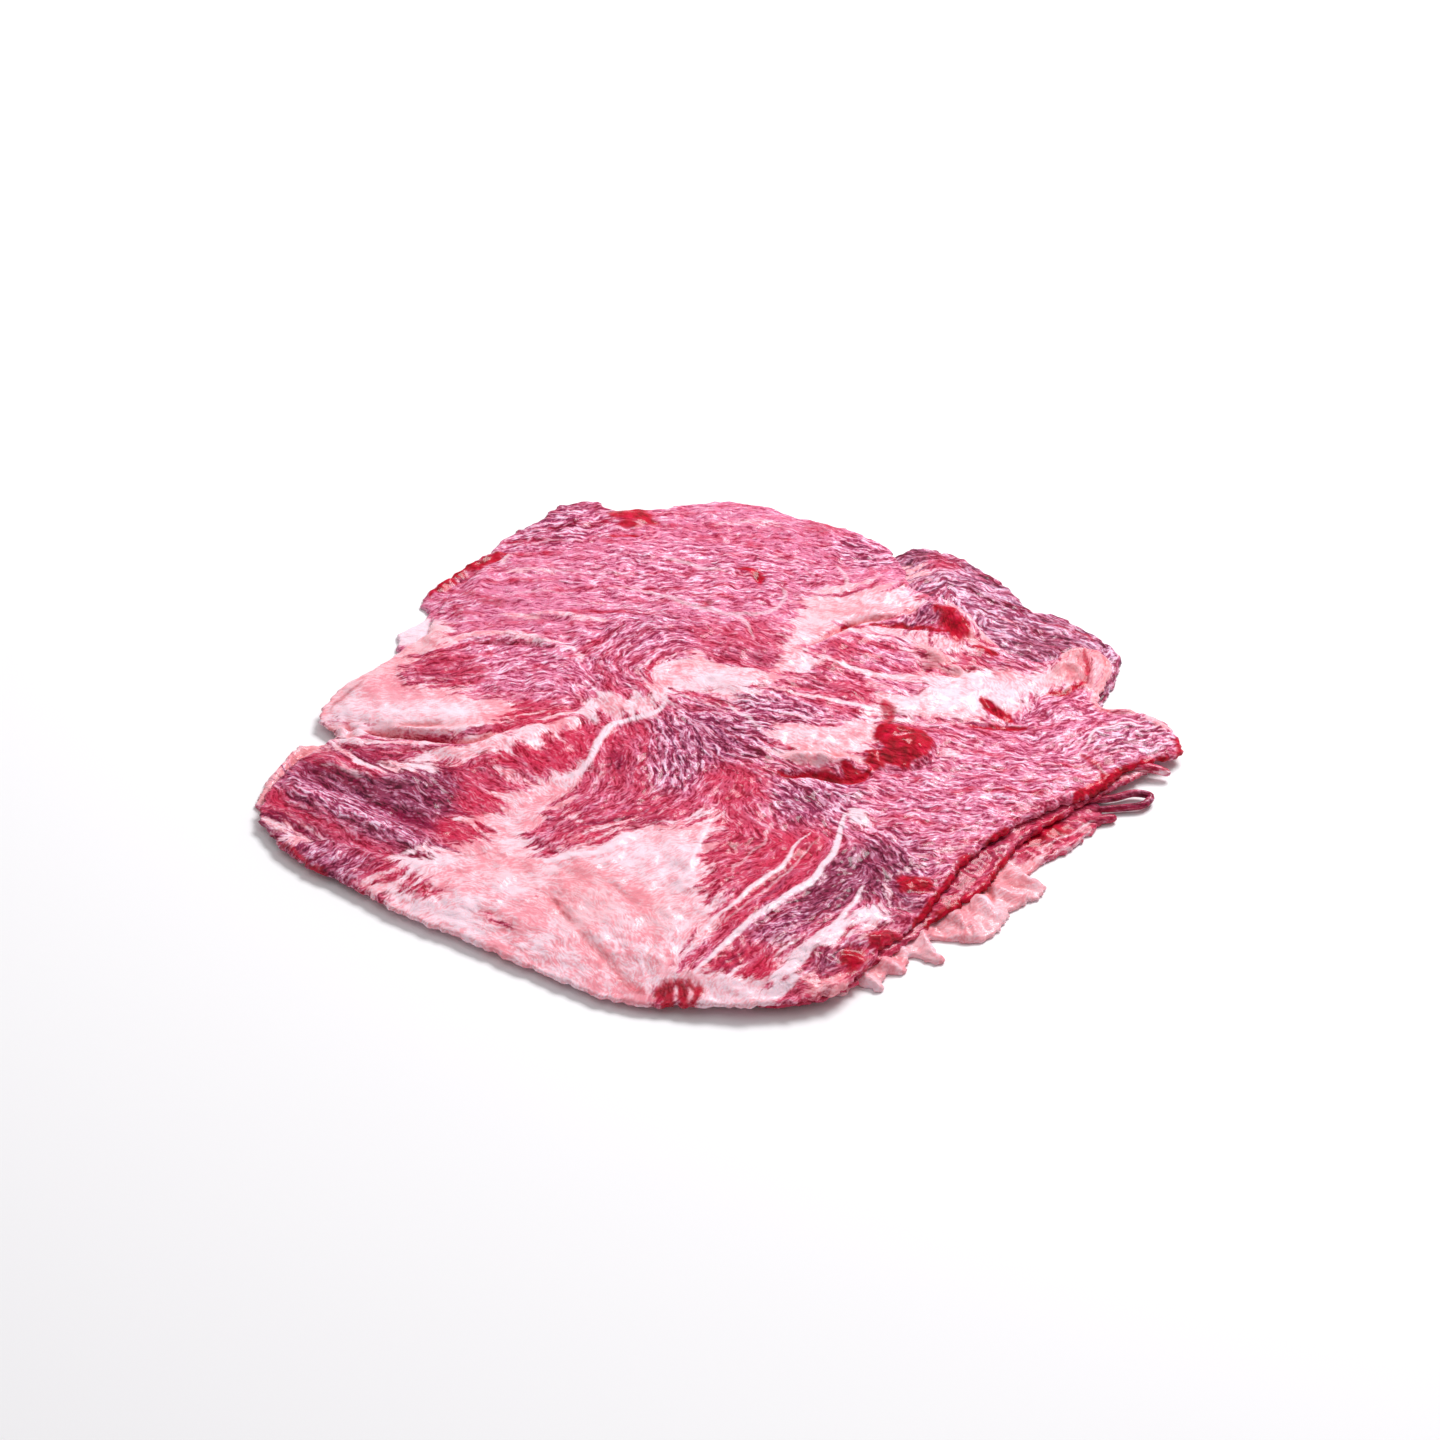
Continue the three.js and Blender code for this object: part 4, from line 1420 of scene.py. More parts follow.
BACK_FEATURES = [
    Patch(k.ROSE, [(-66, 44), (-50, 68), (-36, 82), (-10, 84), (-14, 72), (-34, 64), (-50, 56)], 3, 0.7),
    Patch(k.LILAC, [(-52, 65), (-38, 65), (-30, 71), (-28, 84), (-40, 86), (-52, 72)], 2, 0.75),
    Patch(k.CRINKLED_SHEEN, [(-44, 73), (-38, 73), (-36, 79), (-42, 79)], 1.5),
    Streak(k.STAIN_AND_SHADE, [(-51, 65.6), (-44, 67), (-36, 67.4)], 1),
    Streak(k.THIN_FAT, [(-4, 74.5), (2, 76), (8, 76), (13, 74.6)], 1.8),
    Patch(k.CRIMSON, [(-10, 73), (0, 73), (12, 71), (10, 67), (-8, 69)], 2, 0.5),
    Patch(k.LILAC, [(26, 72), (33, 68), (38, 62), (30, 60), (24, 66)], 2),
    Patch(k.WET, [(-27.6, 76), (-24.6, 79.4), (-20.6, 79.6), (-17.6, 77), (-17, 74), (-20, 73),
        (-25, 73.6)], 1, 0.75, 0.8),
    Patch(k.WET, [(-26.4, 68.6), (-22, 69.6), (-17.6, 68.4), (-20, 65), (-25.6, 65.4)], 0.8, 0.8, 0.8),
    Streak(k.THIN_FAT, [(-23, 62), (-20.4, 64.4), (-17, 65.6), (-15.4, 63), (-14, 60.4)], 1.8),
    Streak(k.THIN_FAT, [(-19, 71), (-17, 66.6), (-15, 64)], 1.2),
    Patch(k.STAIN_AND_SHADE, [(17, 75), (21, 77.6), (26, 75.6), (22, 72.6)], 1.2),
    # curled left rim and white tip
    Streak(k.WET, [(-66, 45), (-63, 50), (-60.6, 54), (-57, 56.5), (-53, 59), (-50, 61.4)], 3.2, 0.8, 0.75),
    Streak(k.BLUSH, [(-67.6, 46), (-64.4, 51), (-61.6, 56), (-56.6, 59.4), (-51.6, 63)], 2.6, 0.8),
    Streak(k.THIN_FAT, [(-67.6, 46), (-64.4, 51), (-61.6, 56), (-56.6, 59.4), (-51.6, 63)], 1.8, 0.8, 0.7),
    Streak(k.MAROON, [(-50, 66), (-49, 71), (-45.6, 74), (-41, 77), (-38, 81), (-32, 83),
        (-28, 81)], 2, 0.8),
    Patch(k.SINEW_AND_HIGHLIGHT, [(-76, 34), (-66, 38), (-64, 34), (-70, 26)], 1.2),
]

BACK_FOLDS = [
    Fold([(-67.4, 45), (-64, 50), (-61, 55), (-56, 59), (-51, 62)], 2, 1.5),
    Fold([(-63, 46), (-59, 52), (-54, 56)], 1.2, -0.6), Fold([(-49, 65), (-43, 68), (-35, 69)], 1.8, 0.7),
    Fold([(-42, 73), (-38, 76), (-34, 78)], 1.8, 0.6),
    Fold([(-18, 77), (-8, 79), (4, 80), (14, 77)], 1.4, 0.4),
]


def back_slice() -> Slice:
    """The slice that shows along the far edge.

    Returns:
        Its drawn outline and features.
    """
    return Slice(
        name="back_slice",
        slot="red_lean",
        raggedness=0.7,
        seed=11,
        outline=[
            (-72.4, 29), (-67.4, 34.6), (-65, 38), (-67.4, 42), (-63, 50), (-52, 62), (-50.5, 66.5),
            (-42.6, 74.5), (-38, 79.6), (-30.5, 82), (-25.5, 79.4), (-12, 80.6), (0, 83.4), (8.6, 82),
            (16, 77.6), (30, 70.8), (36, 65.6), (38.4, 61), (43, 42), (35, 18), (12, -1), (-22, -7),
            (-50, 3), (-67, 17),
        ],
        shade=k.SOFT_PINK,
        features=BACK_FEATURES,
        folds=BACK_FOLDS,
        lumps=[Lump((-22.4, 76.4), (5.4, 3.2), 1.2), Lump((-22, 67), (4.4, 1.9), 0.9)],
    )


MIDDLE_FEATURES = [
    Patch(k.SALMON, [(-104, -28), (-99, -18), (-92, -4), (-84, -2), (-84, -12), (-92, -16),
        (-96, -30)], 1.2, 0.85),
    Patch(k.CRINKLED_SHEEN, [(-104, -28), (-99, -18), (-94, -10), (-92, -14), (-96, -30)], 1.2, 0.5),
    Streak(k.WET, [(84, -19), (78, -25), (72, -29.6), (67.4, -34.6), (64, -40), (60.4, -45), (57.6, -51.6),
        (53, -55.6), (48, -60), (43, -66)], 3.6, 0.8),
    Patch(k.MAROON, [(56, -38), (62, -36), (63, -40), (58, -44), (52, -52), (48, -56),
        (50, -50)], 1, 0.5, 0.8),
    Streak(k.THIN_FAT, [(58, -37.6), (60.6, -38.6), (62, -37)], 1.2),
    Streak(k.THIN_FAT, [(83, -13), (89, -12), (97, -12.4)], 3, 0.5, 0.8),
]

MIDDLE_FOLDS = [
    Fold([(80, -22), (72, -28.6), (66, -34), (62, -41), (57, -49), (50, -57)], 1.6, 0.5),
    Fold([(-98.4, -26), (-95.6, -19), (-93, -13), (-90, -9), (-85, -7)], 1.1, 1.1),
    Fold([(-96.6, -27), (-94, -20), (-91.6, -14), (-88, -10.4)], 0.7, -0.7),
    Fold([(60, -36), (59, -38.6), (57, -41)], 1.4, 0.7),
]


def middle_slice() -> Slice:
    """The slice that shows as a band along the near right edge.

    Returns:
        Its drawn outline and features.
    """
    return Slice(
        name="middle_slice",
        slot="red_lean",
        raggedness=0.7,
        seed=23,
        outline=[
            (-98.8, -30), (-94, -17), (-90, -11), (-83.5, -9.6), (-52, 8), (-22, 18), (8, 27), (36, 30),
            (62, 22), (80, 8), (86, -2), (92.5, -12.6), (88, -17.4), (81, -24.4), (66, -39), (57, -55),
            (43.5, -70), (32, -82.5), (28, -89), (16, -94), (-8, -92.5), (-34, -82.5), (-58, -67.5),
            (-79, -53.5), (-92, -40),
        ],
        shade=k.CRIMSON,
        features=MIDDLE_FEATURES,
        folds=MIDDLE_FOLDS,
        strands=[Strand([(83, -6.4, 3.0), (89, -6.6, 2.9), (93, -6.6, 2.4), (96.6, -7.4, 1.8)], 1.1, 0.3)],
    )


TOP_LEAN = [
    # far half
    Patch(k.SOFT_PINK, [(-66, 34), (-50, 58), (-10, 74), (28, 64), (48, 48), (30, 34), (10, 30), (-10, 32),
        (-30, 34), (-50, 32)], 4),
    Patch(k.PINK, [(-30, 60), (0, 68), (24, 58), (14, 46), (-10, 46), (-30, 50)], 4),
    Patch(k.LILAC, [(-26, 40), (-12, 42), (0, 36), (-4, 28), (-16, 26), (-27, 30)], 3.5, 0.5),
    Patch(k.PURPLE, [(-25, 34), (-16, 35), (-14, 30), (-22, 28)], 2.5, 0.25),
    # oval muscle
    Patch(k.PINK, [(-62, 28), (-50, 30), (-36, 28), (-29, 21), (-32, 12), (-44, 9), (-56, 11),
        (-60, 20)], 2),
    Patch(k.CRIMSON, [(-71, 14), (-70, 19), (-64, 25), (-57, 24), (-53, 17), (-56, 12), (-65, 12)], 2.2),
    Patch(k.MAROON, [(-70, 15), (-66, 20), (-60, 18), (-60, 13), (-66, 12)], 2, 0.45),
    # right
    Patch(k.PINK, [(44, -2), (60, 2), (80, 14), (96, 4), (92, -10), (70, -26), (56, -34), (40, -26),
        (36, -14)], 4),
    Patch(k.ROSE, [(44, 4), (54, 2), (66, 4), (60, -6), (48, -8)], 2.5, 0.6),
    Patch(k.CRIMSON, [(60, -28), (72, -20), (82, -14), (78, -22), (66, -32)], 2.5, 0.6),
    Patch(k.LILAC, [(80, 3), (84, 5), (92, 4), (96, 0), (97, -5), (88, -6), (80, -4)], 1.6),
    Patch(k.LILAC, [(66, 15), (74, 16), (80, 10), (74, 8), (66, 10)], 2, 0.4),
    # left lobe; the crinkled lean along the ridges' crests is partly painted sheen, and the purple, crimson
    # and maroon in the valleys and on the slopes that face the front are partly painted shade
    Patch(k.MAROON, [(-98, -30), (-93, -14), (-80, -11), (-64, -15), (-50, -20), (-50, -34), (-56, -46),
        (-66, -58), (-84, -54), (-97, -42)], 2.5),
    Patch(k.PURPLE, [(-80, -19), (-70, -19), (-60, -17), (-55, -24), (-58, -32), (-68, -32), (-78, -27)], 2),
    Patch(k.CRINKLED_SHEEN, [(-96, -22), (-89, -20), (-80, -26), (-72, -31), (-76, -36), (-86, -32),
        (-95, -28)], 2, 0.75),
    Streak(k.CRINKLED_SHEEN, [(-92, -25), (-82, -31), (-74, -37), (-64, -42), (-58, -43)], 6, 1, 0.85),
    Streak(k.CRIMSON, [(-96, -29), (-90, -34), (-84, -38.6), (-78, -43), (-72, -46.6), (-66, -49)], 6.4, 1),
    Streak(k.MAROON, [(-96, -31), (-90, -36), (-84, -40.6), (-78, -44.6), (-72, -48)], 3, 1, 0.8),
    Patch(k.LILAC, [(-93, -40), (-86, -43), (-76, -48), (-70, -50), (-72, -57), (-80, -56), (-90, -48)], 2),
    Patch(k.PURPLE, [(-88, -46), (-80, -48), (-76, -54), (-82, -55)], 2, 0.6),
    Streak(k.WET, [(-94, -42), (-89, -48), (-84, -53), (-79, -57), (-72, -61)], 1.8, 0.8, 0.6),
    Streak(k.CRIMSON, [(-90, -13.6), (-84, -15), (-78, -18), (-72, -21)], 4, 1),
    Streak(k.THIN_SINEW, [(-86, -16.6), (-80, -19.6), (-73, -23.4)], 0.8, 1, 0.8),
    Streak(k.THIN_SINEW, [(-64, -18), (-61, -22), (-58, -26)], 1, 1, 0.7),
    Streak(k.THIN_SINEW, [(-68, -21), (-64, -25), (-60, -29)], 0.8, 1, 0.6),
    Streak(k.THIN_SINEW, [(-74, -24), (-68, -28), (-62, -32)], 0.8, 1, 0.4),
    Patch(k.SCARLET, [(-97, -26), (-93, -25), (-93, -30), (-97, -30)], 1),
    Patch(k.SCARLET, [(-55, -24), (-48, -21), (-45, -25), (-49, -31), (-55, -31)], 2),
    Patch(k.SCARLET, [(-59, -34), (-51, -33), (-49, -38), (-53, -42), (-60, -41)], 1.6),
    Patch(k.CRIMSON, [(-76, -52), (-66, -48), (-62, -52), (-66, -56), (-75, -58)], 1.6),
    # left of the middle
    Patch(k.SCARLET, [(-51, 7), (-44, 8), (-34, 5), (-36, 0), (-44, -2), (-52, 1)], 1.8),
    Patch(k.SCARLET, [(-50, -9), (-40, -5), (-34, -2), (-29, 1), (-25, 0), (-27, -6), (-29, -14),
        (-36, -17), (-44, -16), (-52, -14)], 2),
    Patch(k.CRIMSON, [(-56, -16), (-48, -14), (-44, -20), (-50, -24), (-57, -22)], 2),
    Patch(k.CRIMSON, [(-26, 0), (-16, 2), (-15, -10), (-16, -18), (-24, -20), (-29, -15), (-27, -8)], 2),
    Patch(k.MAROON, [(-25, -10), (-21, -10), (-20, -15), (-24, -16)], 1.4, 0.7),
    Patch(k.CRIMSON, [(-34, -20), (-24, -19), (-12, -20), (-6, -28), (-14, -35), (-26, -36),
        (-36, -30)], 2.5),
    Patch(k.ROSE, [(-32, -22), (-22, -21), (-18, -26), (-28, -30)], 2, 0.7),
    Patch(k.MAROON, [(-34, -32), (-24, -31), (-14, -31), (-12, -34), (-22, -36), (-32, -36)], 2.5, 0.6),
    Patch(k.SCARLET, [(-34, -37), (-26, -36), (-20, -38), (-26, -41), (-34, -41)]),
    # swirl in the middle
    Patch(k.LILAC, [(-14, 4), (-6, 6), (4, 5), (10, 0), (11, -9), (4, -14), (-3, -15), (-8, -22),
        (-13, -22), (-16, -12), (-15, -4)], 2),
    Patch(k.PURPLE, [(-10, 0), (-2, 2), (4, -3), (4, -9), (-2, -10), (-8, -12), (-12, -8)], 2.5, 0.45),
    Patch(k.LILAC, [(2, 11), (8, 15), (14, 13.4), (20, 7), (23, 2), (14, 1), (8, 2), (4, 6)], 1.6),
    Patch(k.SCARLET, [(-3, -14), (6, -12), (10, -17), (8, -26), (0, -27), (-4, -20)], 2, 0.8),
    # before the tear
    Patch(k.LILAC, [(12, -16), (20, -17), (29, -18), (30, -24), (25, -30), (18, -34), (12, -30),
        (10, -22)], 2),
    Patch(k.PURPLE, [(14, -19), (20, -20), (22, -27), (16, -30), (12, -25)], 2, 0.4),
    Patch(k.LILAC, [(30, -34), (38, -34), (46, -40), (44, -52), (36, -50), (31, -44)], 2.5, 0.8),
    # near right
    Patch(k.CRIMSON, [(-4, -30), (2, -27), (10, -32), (8, -44), (2, -54), (-2, -60), (-5, -50),
        (-4, -40)], 2),
    Patch(k.SCARLET, [(10, -36), (20, -34), (23, -42), (18, -52), (8, -60), (0, -70), (-3, -68),
        (4, -56)], 1.8),
    Patch(k.MAROON, [(10, -46), (16, -46), (14, -54), (8, -58)], 1.6, 0.6),
    Patch(k.PURPLE, [(22, -45), (28, -40), (32, -38), (38, -40), (40, -48), (36, -56), (30, -56),
        (25, -60), (18, -66), (12, -71), (7, -70), (11, -63), (17, -56)], 1.6),
    Patch(k.LILAC, [(8, -62), (16, -58), (18, -64), (14, -71), (7, -70)], 1.6, 0.7),
    Patch(k.SCARLET, [(-4, -82), (0, -76), (4, -72), (8, -72), (12, -76), (12, -84), (0, -86),
        (-3, -85)], 1.2),
    Patch(k.MAROON, [(-3, -84), (0, -78), (4, -73), (6, -74), (2, -82)], 1.2, 0.6),
    Patch(k.CRIMSON, [(14, -82), (24, -80), (30, -74), (32, -80), (26, -90), (14, -89)], 1.6),
]

TOP_FAT = [
    # left lobe above the slit
    Patch(k.FAT, [(-90, -3), (-90, 5), (-84, 15), (-76, 23), (-68, 36), (-61, 34), (-61, 28), (-65, 24.6),
        (-69, 22), (-71.4, 17), (-72, 13.6), (-65, 12.6), (-60, 11), (-55, 9), (-48, 7.6), (-45.6, 5),
        (-48, 2.4), (-52, -1), (-60, -5), (-70, -4.6), (-80, -2), (-86, -1)], 1.2, 1, 0.7),
    Patch(k.PALE_FAT, [(-84, 3), (-78, 9), (-68, 9.6), (-58, 8), (-54, 4), (-60, 0), (-72, -0.6),
        (-82, -0.6)], 2.2),
    # painted shade on the lip's front slope under the lobe, and a painted shadow under its lower edge
    Patch(k.BLUSH, [(-74, -2.4), (-62, -1), (-50, -0.6), (-50, -3), (-60, -6), (-72, -5)], 1),
    Patch(k.FAINT_STAIN_AND_SHADE, [(-82, -1.4), (-70, -2.4), (-70, -4), (-82, -3.6)], 1),
    Patch(k.BLUSH, [(-88, 1), (-87, 8), (-80, 17), (-74, 22), (-70, 28), (-69, 25), (-75, 17), (-83, 9)], 1),
    Streak(k.STAIN_AND_SHADE, [(-86, 2), (-84.6, 6), (-81.6, 10), (-78.6, 13.6)], 1),
    Patch(k.LILAC, [(-72, 16), (-68, 16.6), (-66, 12), (-71, 11)], 1.4, 0.4),
    Patch(k.BLUSH, [(-74, 22), (-70, 30), (-66, 35), (-62, 34), (-62, 27), (-68, 23)], 1.5),
    # slit
    Streak(k.SCARLET, [(-77, -4), (-70, -5.2), (-64, -5.8), (-57, -7), (-51, -4), (-47, -1)], 1.6, 0.4),
    # painted shadow line along the slit
    Streak(k.STAIN_AND_SHADE, [(-76, -4.4), (-70, -5.4), (-64, -6), (-58, -6.6)], 1, 0.4),
    Streak(k.THIN_FAT, [(-92, -13.4), (-87, -11), (-82, -9)], 2),
    Patch(k.PALE_FAT, [(-86, -4), (-80, -2.6), (-77, -5), (-80, -9), (-85, -8)], 1),
    Streak(k.SALMON, [(-93, -12.6), (-91.6, -9.6), (-89, -7.8), (-84, -6.8)], 2.2),
    Patch(k.THIN_FAT, [(-76, -6), (-62, -7), (-60, -10), (-70, -10.6), (-77, -9)], 1.2),
    Streak(k.MAROON, [(-79, -10), (-72, -12), (-66, -13.4)], 1.4, 0.8, 0.8),
    Streak(k.CRIMSON, [(-76, -13), (-68, -14.6), (-62, -14)], 1.2, 0.8, 0.8),
    # bands from the left to the middle
    Patch(k.FAT, [(-64, -13), (-60, -10), (-56, -7.6), (-49, -3.6), (-41, -1.6), (-36, 1.6), (-31, 6.4),
        (-29, 9.4), (-25, 10.6), (-19, 10.4), (-17, 14), (-16, 20), (-12, 24), (-10, 23), (-6, 25.6),
        (-3, 24), (1, 23), (5, 22.4), (8, 21), (12, 24), (12, 28), (10.6, 33), (13, 36), (15.6, 41),
        (16, 45), (20, 48), (28, 51), (36, 53), (42, 50), (45, 45.6), (41, 43.4), (34, 41.6), (29, 39.4),
        (24, 36), (20, 32.4), (17, 30), (19, 27), (24, 25), (22, 23), (17, 21), (12, 19), (9, 17), (5, 15),
        (4, 13), (1, 10.6), (-2, 12), (-6, 13.4), (-11, 13), (-14, 8), (-15, 5), (-21, 4), (-27, 3.4),
        (-31, 1), (-36, -2.4), (-42, -7), (-50, -11), (-56, -14), (-62, -16), (-72, -18.6), (-80, -16),
        (-72, -15.6)], 1.2),
    Patch(k.PALE_FAT, [(-4, 20), (2, 21), (6, 19), (4, 14), (-1, 13), (-5, 15)], 1.6),
    Patch(k.PALE_FAT, [(-28, 8), (-20, 8.6), (-15, 7), (-18, 5), (-26, 5)], 1.4, 0.7),
    Patch(k.BLUSH, [(-8, 27), (0, 29), (2, 25), (-6, 23)], 1.6),
    Patch(k.BLUSH, [(18, 45), (26, 47), (34, 44), (26, 40), (18, 38)], 2, 0.8),
    Patch(k.PALE_FAT, [(24, 50), (36, 52), (42, 48), (36, 44), (26, 46)], 2.2, 0.8),
    Streak(k.SCARLET, [(-38, 2.6), (-32, 7), (-28, 11), (-20, 13), (-16, 16)], 2, 0.6, 0.5),
    Streak(k.THIN_FAT, [(-50, 3), (-42, 4), (-34, 6.6)], 1.2, 1, 0.7),
    # long white seam
    Streak(k.SINEW_AND_HIGHLIGHT, [(-12.6, 10), (-14, 6.4), (-16, 4), (-21, 2), (-24.5, -0.6), (-26.6, -5), (-28, -9.4),
        (-29, -13.6), (-31, -17), (-36, -19.6)], 1.7, 0.2, 0.85),
    # near fat
    Patch(k.FAT, [(-28, -12), (-31, -16), (-37, -18.6), (-42, -23), (-46, -27), (-49, -32.6), (-53, -34),
        (-50, -36.4), (-49, -39), (-53, -42), (-62, -47), (-69, -48), (-64, -50.6), (-66, -55), (-67, -60),
        (-71, -61.6), (-68, -66), (-66, -72), (-50, -82), (-34, -92), (-16, -100), (-12, -96), (-12, -88),
        (-9, -80), (-5, -72), (-1, -66), (-2, -60), (-4, -56), (-4, -44), (-3, -37), (-0.6, -29),
        (-5, -32.6), (-9, -33.8), (-14, -34.5), (-17.6, -36), (-21, -38.4), (-25, -40.2), (-29, -41),
        (-33, -42.6), (-37, -45), (-41, -42), (-40, -36), (-36, -29), (-32, -23), (-29, -18)], 1.2),
    Patch(k.PALE_FAT, [(-24, -38), (-14, -36), (-6, -36), (-5, -46), (-6, -58), (-14, -52),
        (-22, -44)], 2.4),
    Patch(k.PALE_FAT, [(-56, -60), (-48, -56), (-40, -62), (-46, -72), (-56, -70)], 3, 0.5),
    Patch(k.PALE_FAT, [(-10, -56), (-4, -56), (-2, -64), (-6, -72), (-11, -66)], 2, 0.8),
    Patch(k.BLUSH, [(-34, -50), (-24, -50), (-20, -58), (-24, -68), (-32, -66)], 3.5, 0.9),
    Patch(k.BLUSH, [(-18, -55), (-10, -56), (-8, -66), (-16, -70)], 3, 0.8),
    Patch(k.BLUSH, [(-50, -46), (-42, -44), (-38, -50), (-44, -56), (-52, -52)], 3, 0.6),
    Streak(k.SALMON, [(-40, -55), (-36, -61), (-31, -67), (-26, -75), (-21, -82), (-16, -89)], 4, 1, 0.45),
    Streak(k.SCARLET, [(-49.6, -63), (-46.6, -67), (-43, -71)], 2.6, 1, 0.6),
    Streak(k.SCARLET, [(-39.6, -55.6), (-37, -60)], 1.6, 1, 0.5),
    Streak(k.STAIN_AND_SHADE, [(-35, -58.6), (-33, -63), (-31, -66.6)], 1.6, 0.8),
    Streak(k.STAIN_AND_SHADE, [(-22, -81), (-19, -86), (-15, -89.6)], 2.6, 0.8),
    Streak(k.FAINT_STAIN_AND_SHADE, [(-35, -65), (-30, -70), (-26, -76), (-22, -81)], 1, 0.6),
    Patch(k.SCARLET, [(-67, -55), (-61, -53.6), (-57, -56), (-59, -60), (-65, -60)], 1.4, 0.8),
    Patch(k.FAT, [(-62, -50.6), (-54, -49), (-54, -54), (-60, -54)], 1.2),
    Streak(k.STAIN_AND_SHADE, [(-57, -46.4), (-53, -45.8), (-49, -44.6)], 0.9),
    Patch(k.PALE_FAT, [(-74.6, -56), (-70, -54.6), (-66.6, -56), (-68, -59.6), (-72, -60)], 0.8),
    Patch(k.PALE_FAT, [(-96, -36), (-92, -35.6), (-91, -38.6), (-95, -39.6)], 0.8, 0.7),
    Patch(k.PALE_FAT, [(-91.6, -40), (-88, -39.6), (-87, -42), (-91, -43)], 0.8, 0.7),
    # streaks of fat into the lean
    Streak(k.FAT, [(-56, -44), (-62, -44), (-68, -46)], 1.6),
    Streak(k.FAT, [(-48, -36), (-53, -33.6), (-57, -34)], 1.4),
    Streak(k.FAT, [(-40, -30), (-45, -26), (-50, -25)], 1.6),
    Streak(k.THIN_FAT, [(-50, -16), (-44, -19), (-40, -22)], 3, 1, 0.8),
    Streak(k.THIN_FAT, [(-38, -24), (-33, -30), (-30, -34)], 2.4, 1, 0.7),
    Streak(k.SINEW_AND_HIGHLIGHT, [(-37.4, -48), (-36, -46.8), (-31, -44.4), (-26, -43.4), (-21, -39.4),
        (-17.4, -37)], 1.8),
    Streak(k.SINEW_AND_HIGHLIGHT, [(1, -28), (-1.5, -31), (-3.5, -36), (-5, -41), (-6, -46), (-7, -50),
        (-9.5, -55)], 1, 0.2, 0.7),
    Patch(k.SINEW_AND_HIGHLIGHT, [(-13, -80), (-9, -81), (-8, -85), (-13, -87)], 1.2, 0.7, 0.8),
    Patch(k.PALE_FAT, [(-14, -82), (0, -82), (10, -85.6), (12, -92), (-2, -94)], 1.4, 1, 0.8),
    Patch(k.WET, [(-12, -85.6), (-6, -85), (-3, -88), (-5, -93), (-12, -93)], 1.2, 0.7),
    Streak(k.PALE_FAT, [(-9, -86), (-8.4, -92)], 0.8),
    Streak(k.PALE_FAT, [(-6, -86), (-5.4, -92)], 0.7),
    # right of the near fat
    Streak(k.SINEW_AND_HIGHLIGHT, [(26, -28), (24.6, -37), (23.5, -42.5), (21.5, -46), (19.5, -51), (16, -54.5),
        (12, -59), (7.5, -63), (4, -68.5), (0, -74.5), (-5, -82)], 1.6, 0.2),
    Streak(k.SINEW_AND_HIGHLIGHT, [(19, -35.5), (15.5, -39.5), (14, -44.5), (12, -48), (9, -51), (6.5, -54),
        (3.5, -58.5), (0, -63), (-4, -69)], 1.1, 0.15, 0.85),
    Streak(k.THIN_SINEW, [(21, -37), (17.5, -42), (15.6, -46), (12, -51), (8, -56), (4, -61),
        (-1, -68)], 0.8, 0.15, 0.8),
    Streak(k.THIN_SINEW, [(11, -30), (9.4, -37), (5, -44), (1, -52)], 1, 0.8, 0.7),
    Patch(k.SINEW_AND_HIGHLIGHT, [(26.8, -27), (30.4, -27.4), (31, -30.6), (28.6, -33), (26.8, -32)], 0.8, 0.9, 0.8),
    Patch(k.SINEW_AND_HIGHLIGHT, [(32, -58.6), (33.6, -61), (28, -66), (24, -71), (18.6, -76), (16, -82), (13, -88),
        (10, -87), (13, -80), (16, -75), (21, -70), (26, -65)], 0.9, 1, 0.9),
    Streak(k.SINEW_AND_HIGHLIGHT, [(30, -52), (28, -58), (24, -65), (19, -71), (14, -78)], 1.4, 0.2, 0.8),
    Patch(k.THIN_FAT, [(12, -70), (19, -70), (20, -78), (14, -84), (11, -78)], 1.4, 0.7),
    Patch(k.FAT, [(31, -59), (35, -60), (35, -66), (31, -66)], 1.2, 0.6),
    Patch(k.PURPLE, [(20, -73.6), (25, -73.6), (24, -79), (20, -79)], 0.9),
    Patch(k.WET, [(25, -74.4), (30, -74), (30, -79.6), (25, -79.6)], 1, 0.8),
    Patch(k.SALMON, [(19, -83.6), (27, -82), (28, -87), (20, -91)], 1.2, 0.7),
    Streak(k.SALMON, [(27, -68), (30, -70), (31.6, -66)], 3, 0.8, 0.7),
    # fat of the middle right
    Patch(k.FAT, [(11, 1), (15, 2), (20, 1), (26, 2), (31, 6), (32, 9), (30, 15), (31, 20), (33, 22),
        (38, 22.4), (45, 20.4), (49, 21), (52, 23), (55, 26), (58, 26), (63, 25), (67, 24), (71, 22),
        (74, 21), (73, 17), (68, 16), (65, 14), (64, 10), (62, 7), (58, 5), (52, 5), (47, 6.4), (42, 5),
        (37, 5.4), (34, 3), (33, -4), (31, -8.6), (28, -8.4), (28, -11), (24, -11.6), (21.4, -12),
        (20, -9), (17, -10), (13, -12.6), (14, -8.6), (12, -5)], 1.1),
    Patch(k.PALE_FAT, [(42, 19), (56, 22), (66, 20), (62, 12), (52, 8), (40, 9), (36, 12)], 2.2),
    Patch(k.PALE_FAT, [(14, 0), (26, 0), (31, -3), (26, -7), (18, -6)], 1.8, 0.8),
    Patch(k.PINK, [(34, 18), (38, 19), (44, 18), (44, 15), (36, 13)], 1.2, 0.8),
    Patch(k.CRIMSON, [(13, 16), (18, 20), (22, 24), (26, 24), (30, 20), (32, 16), (32, 10), (28, 11),
        (22, 12), (17, 12)], 1.2),
    Patch(k.ROSE, [(14, 16), (20, 20), (26, 22), (30, 16), (24, 14), (18, 13.6)], 1.4, 0.7),
    Patch(k.CRIMSON, [(30, 33), (36, 33), (41, 28), (43, 24), (41, 21.4), (36, 20.6), (30, 22), (25, 26),
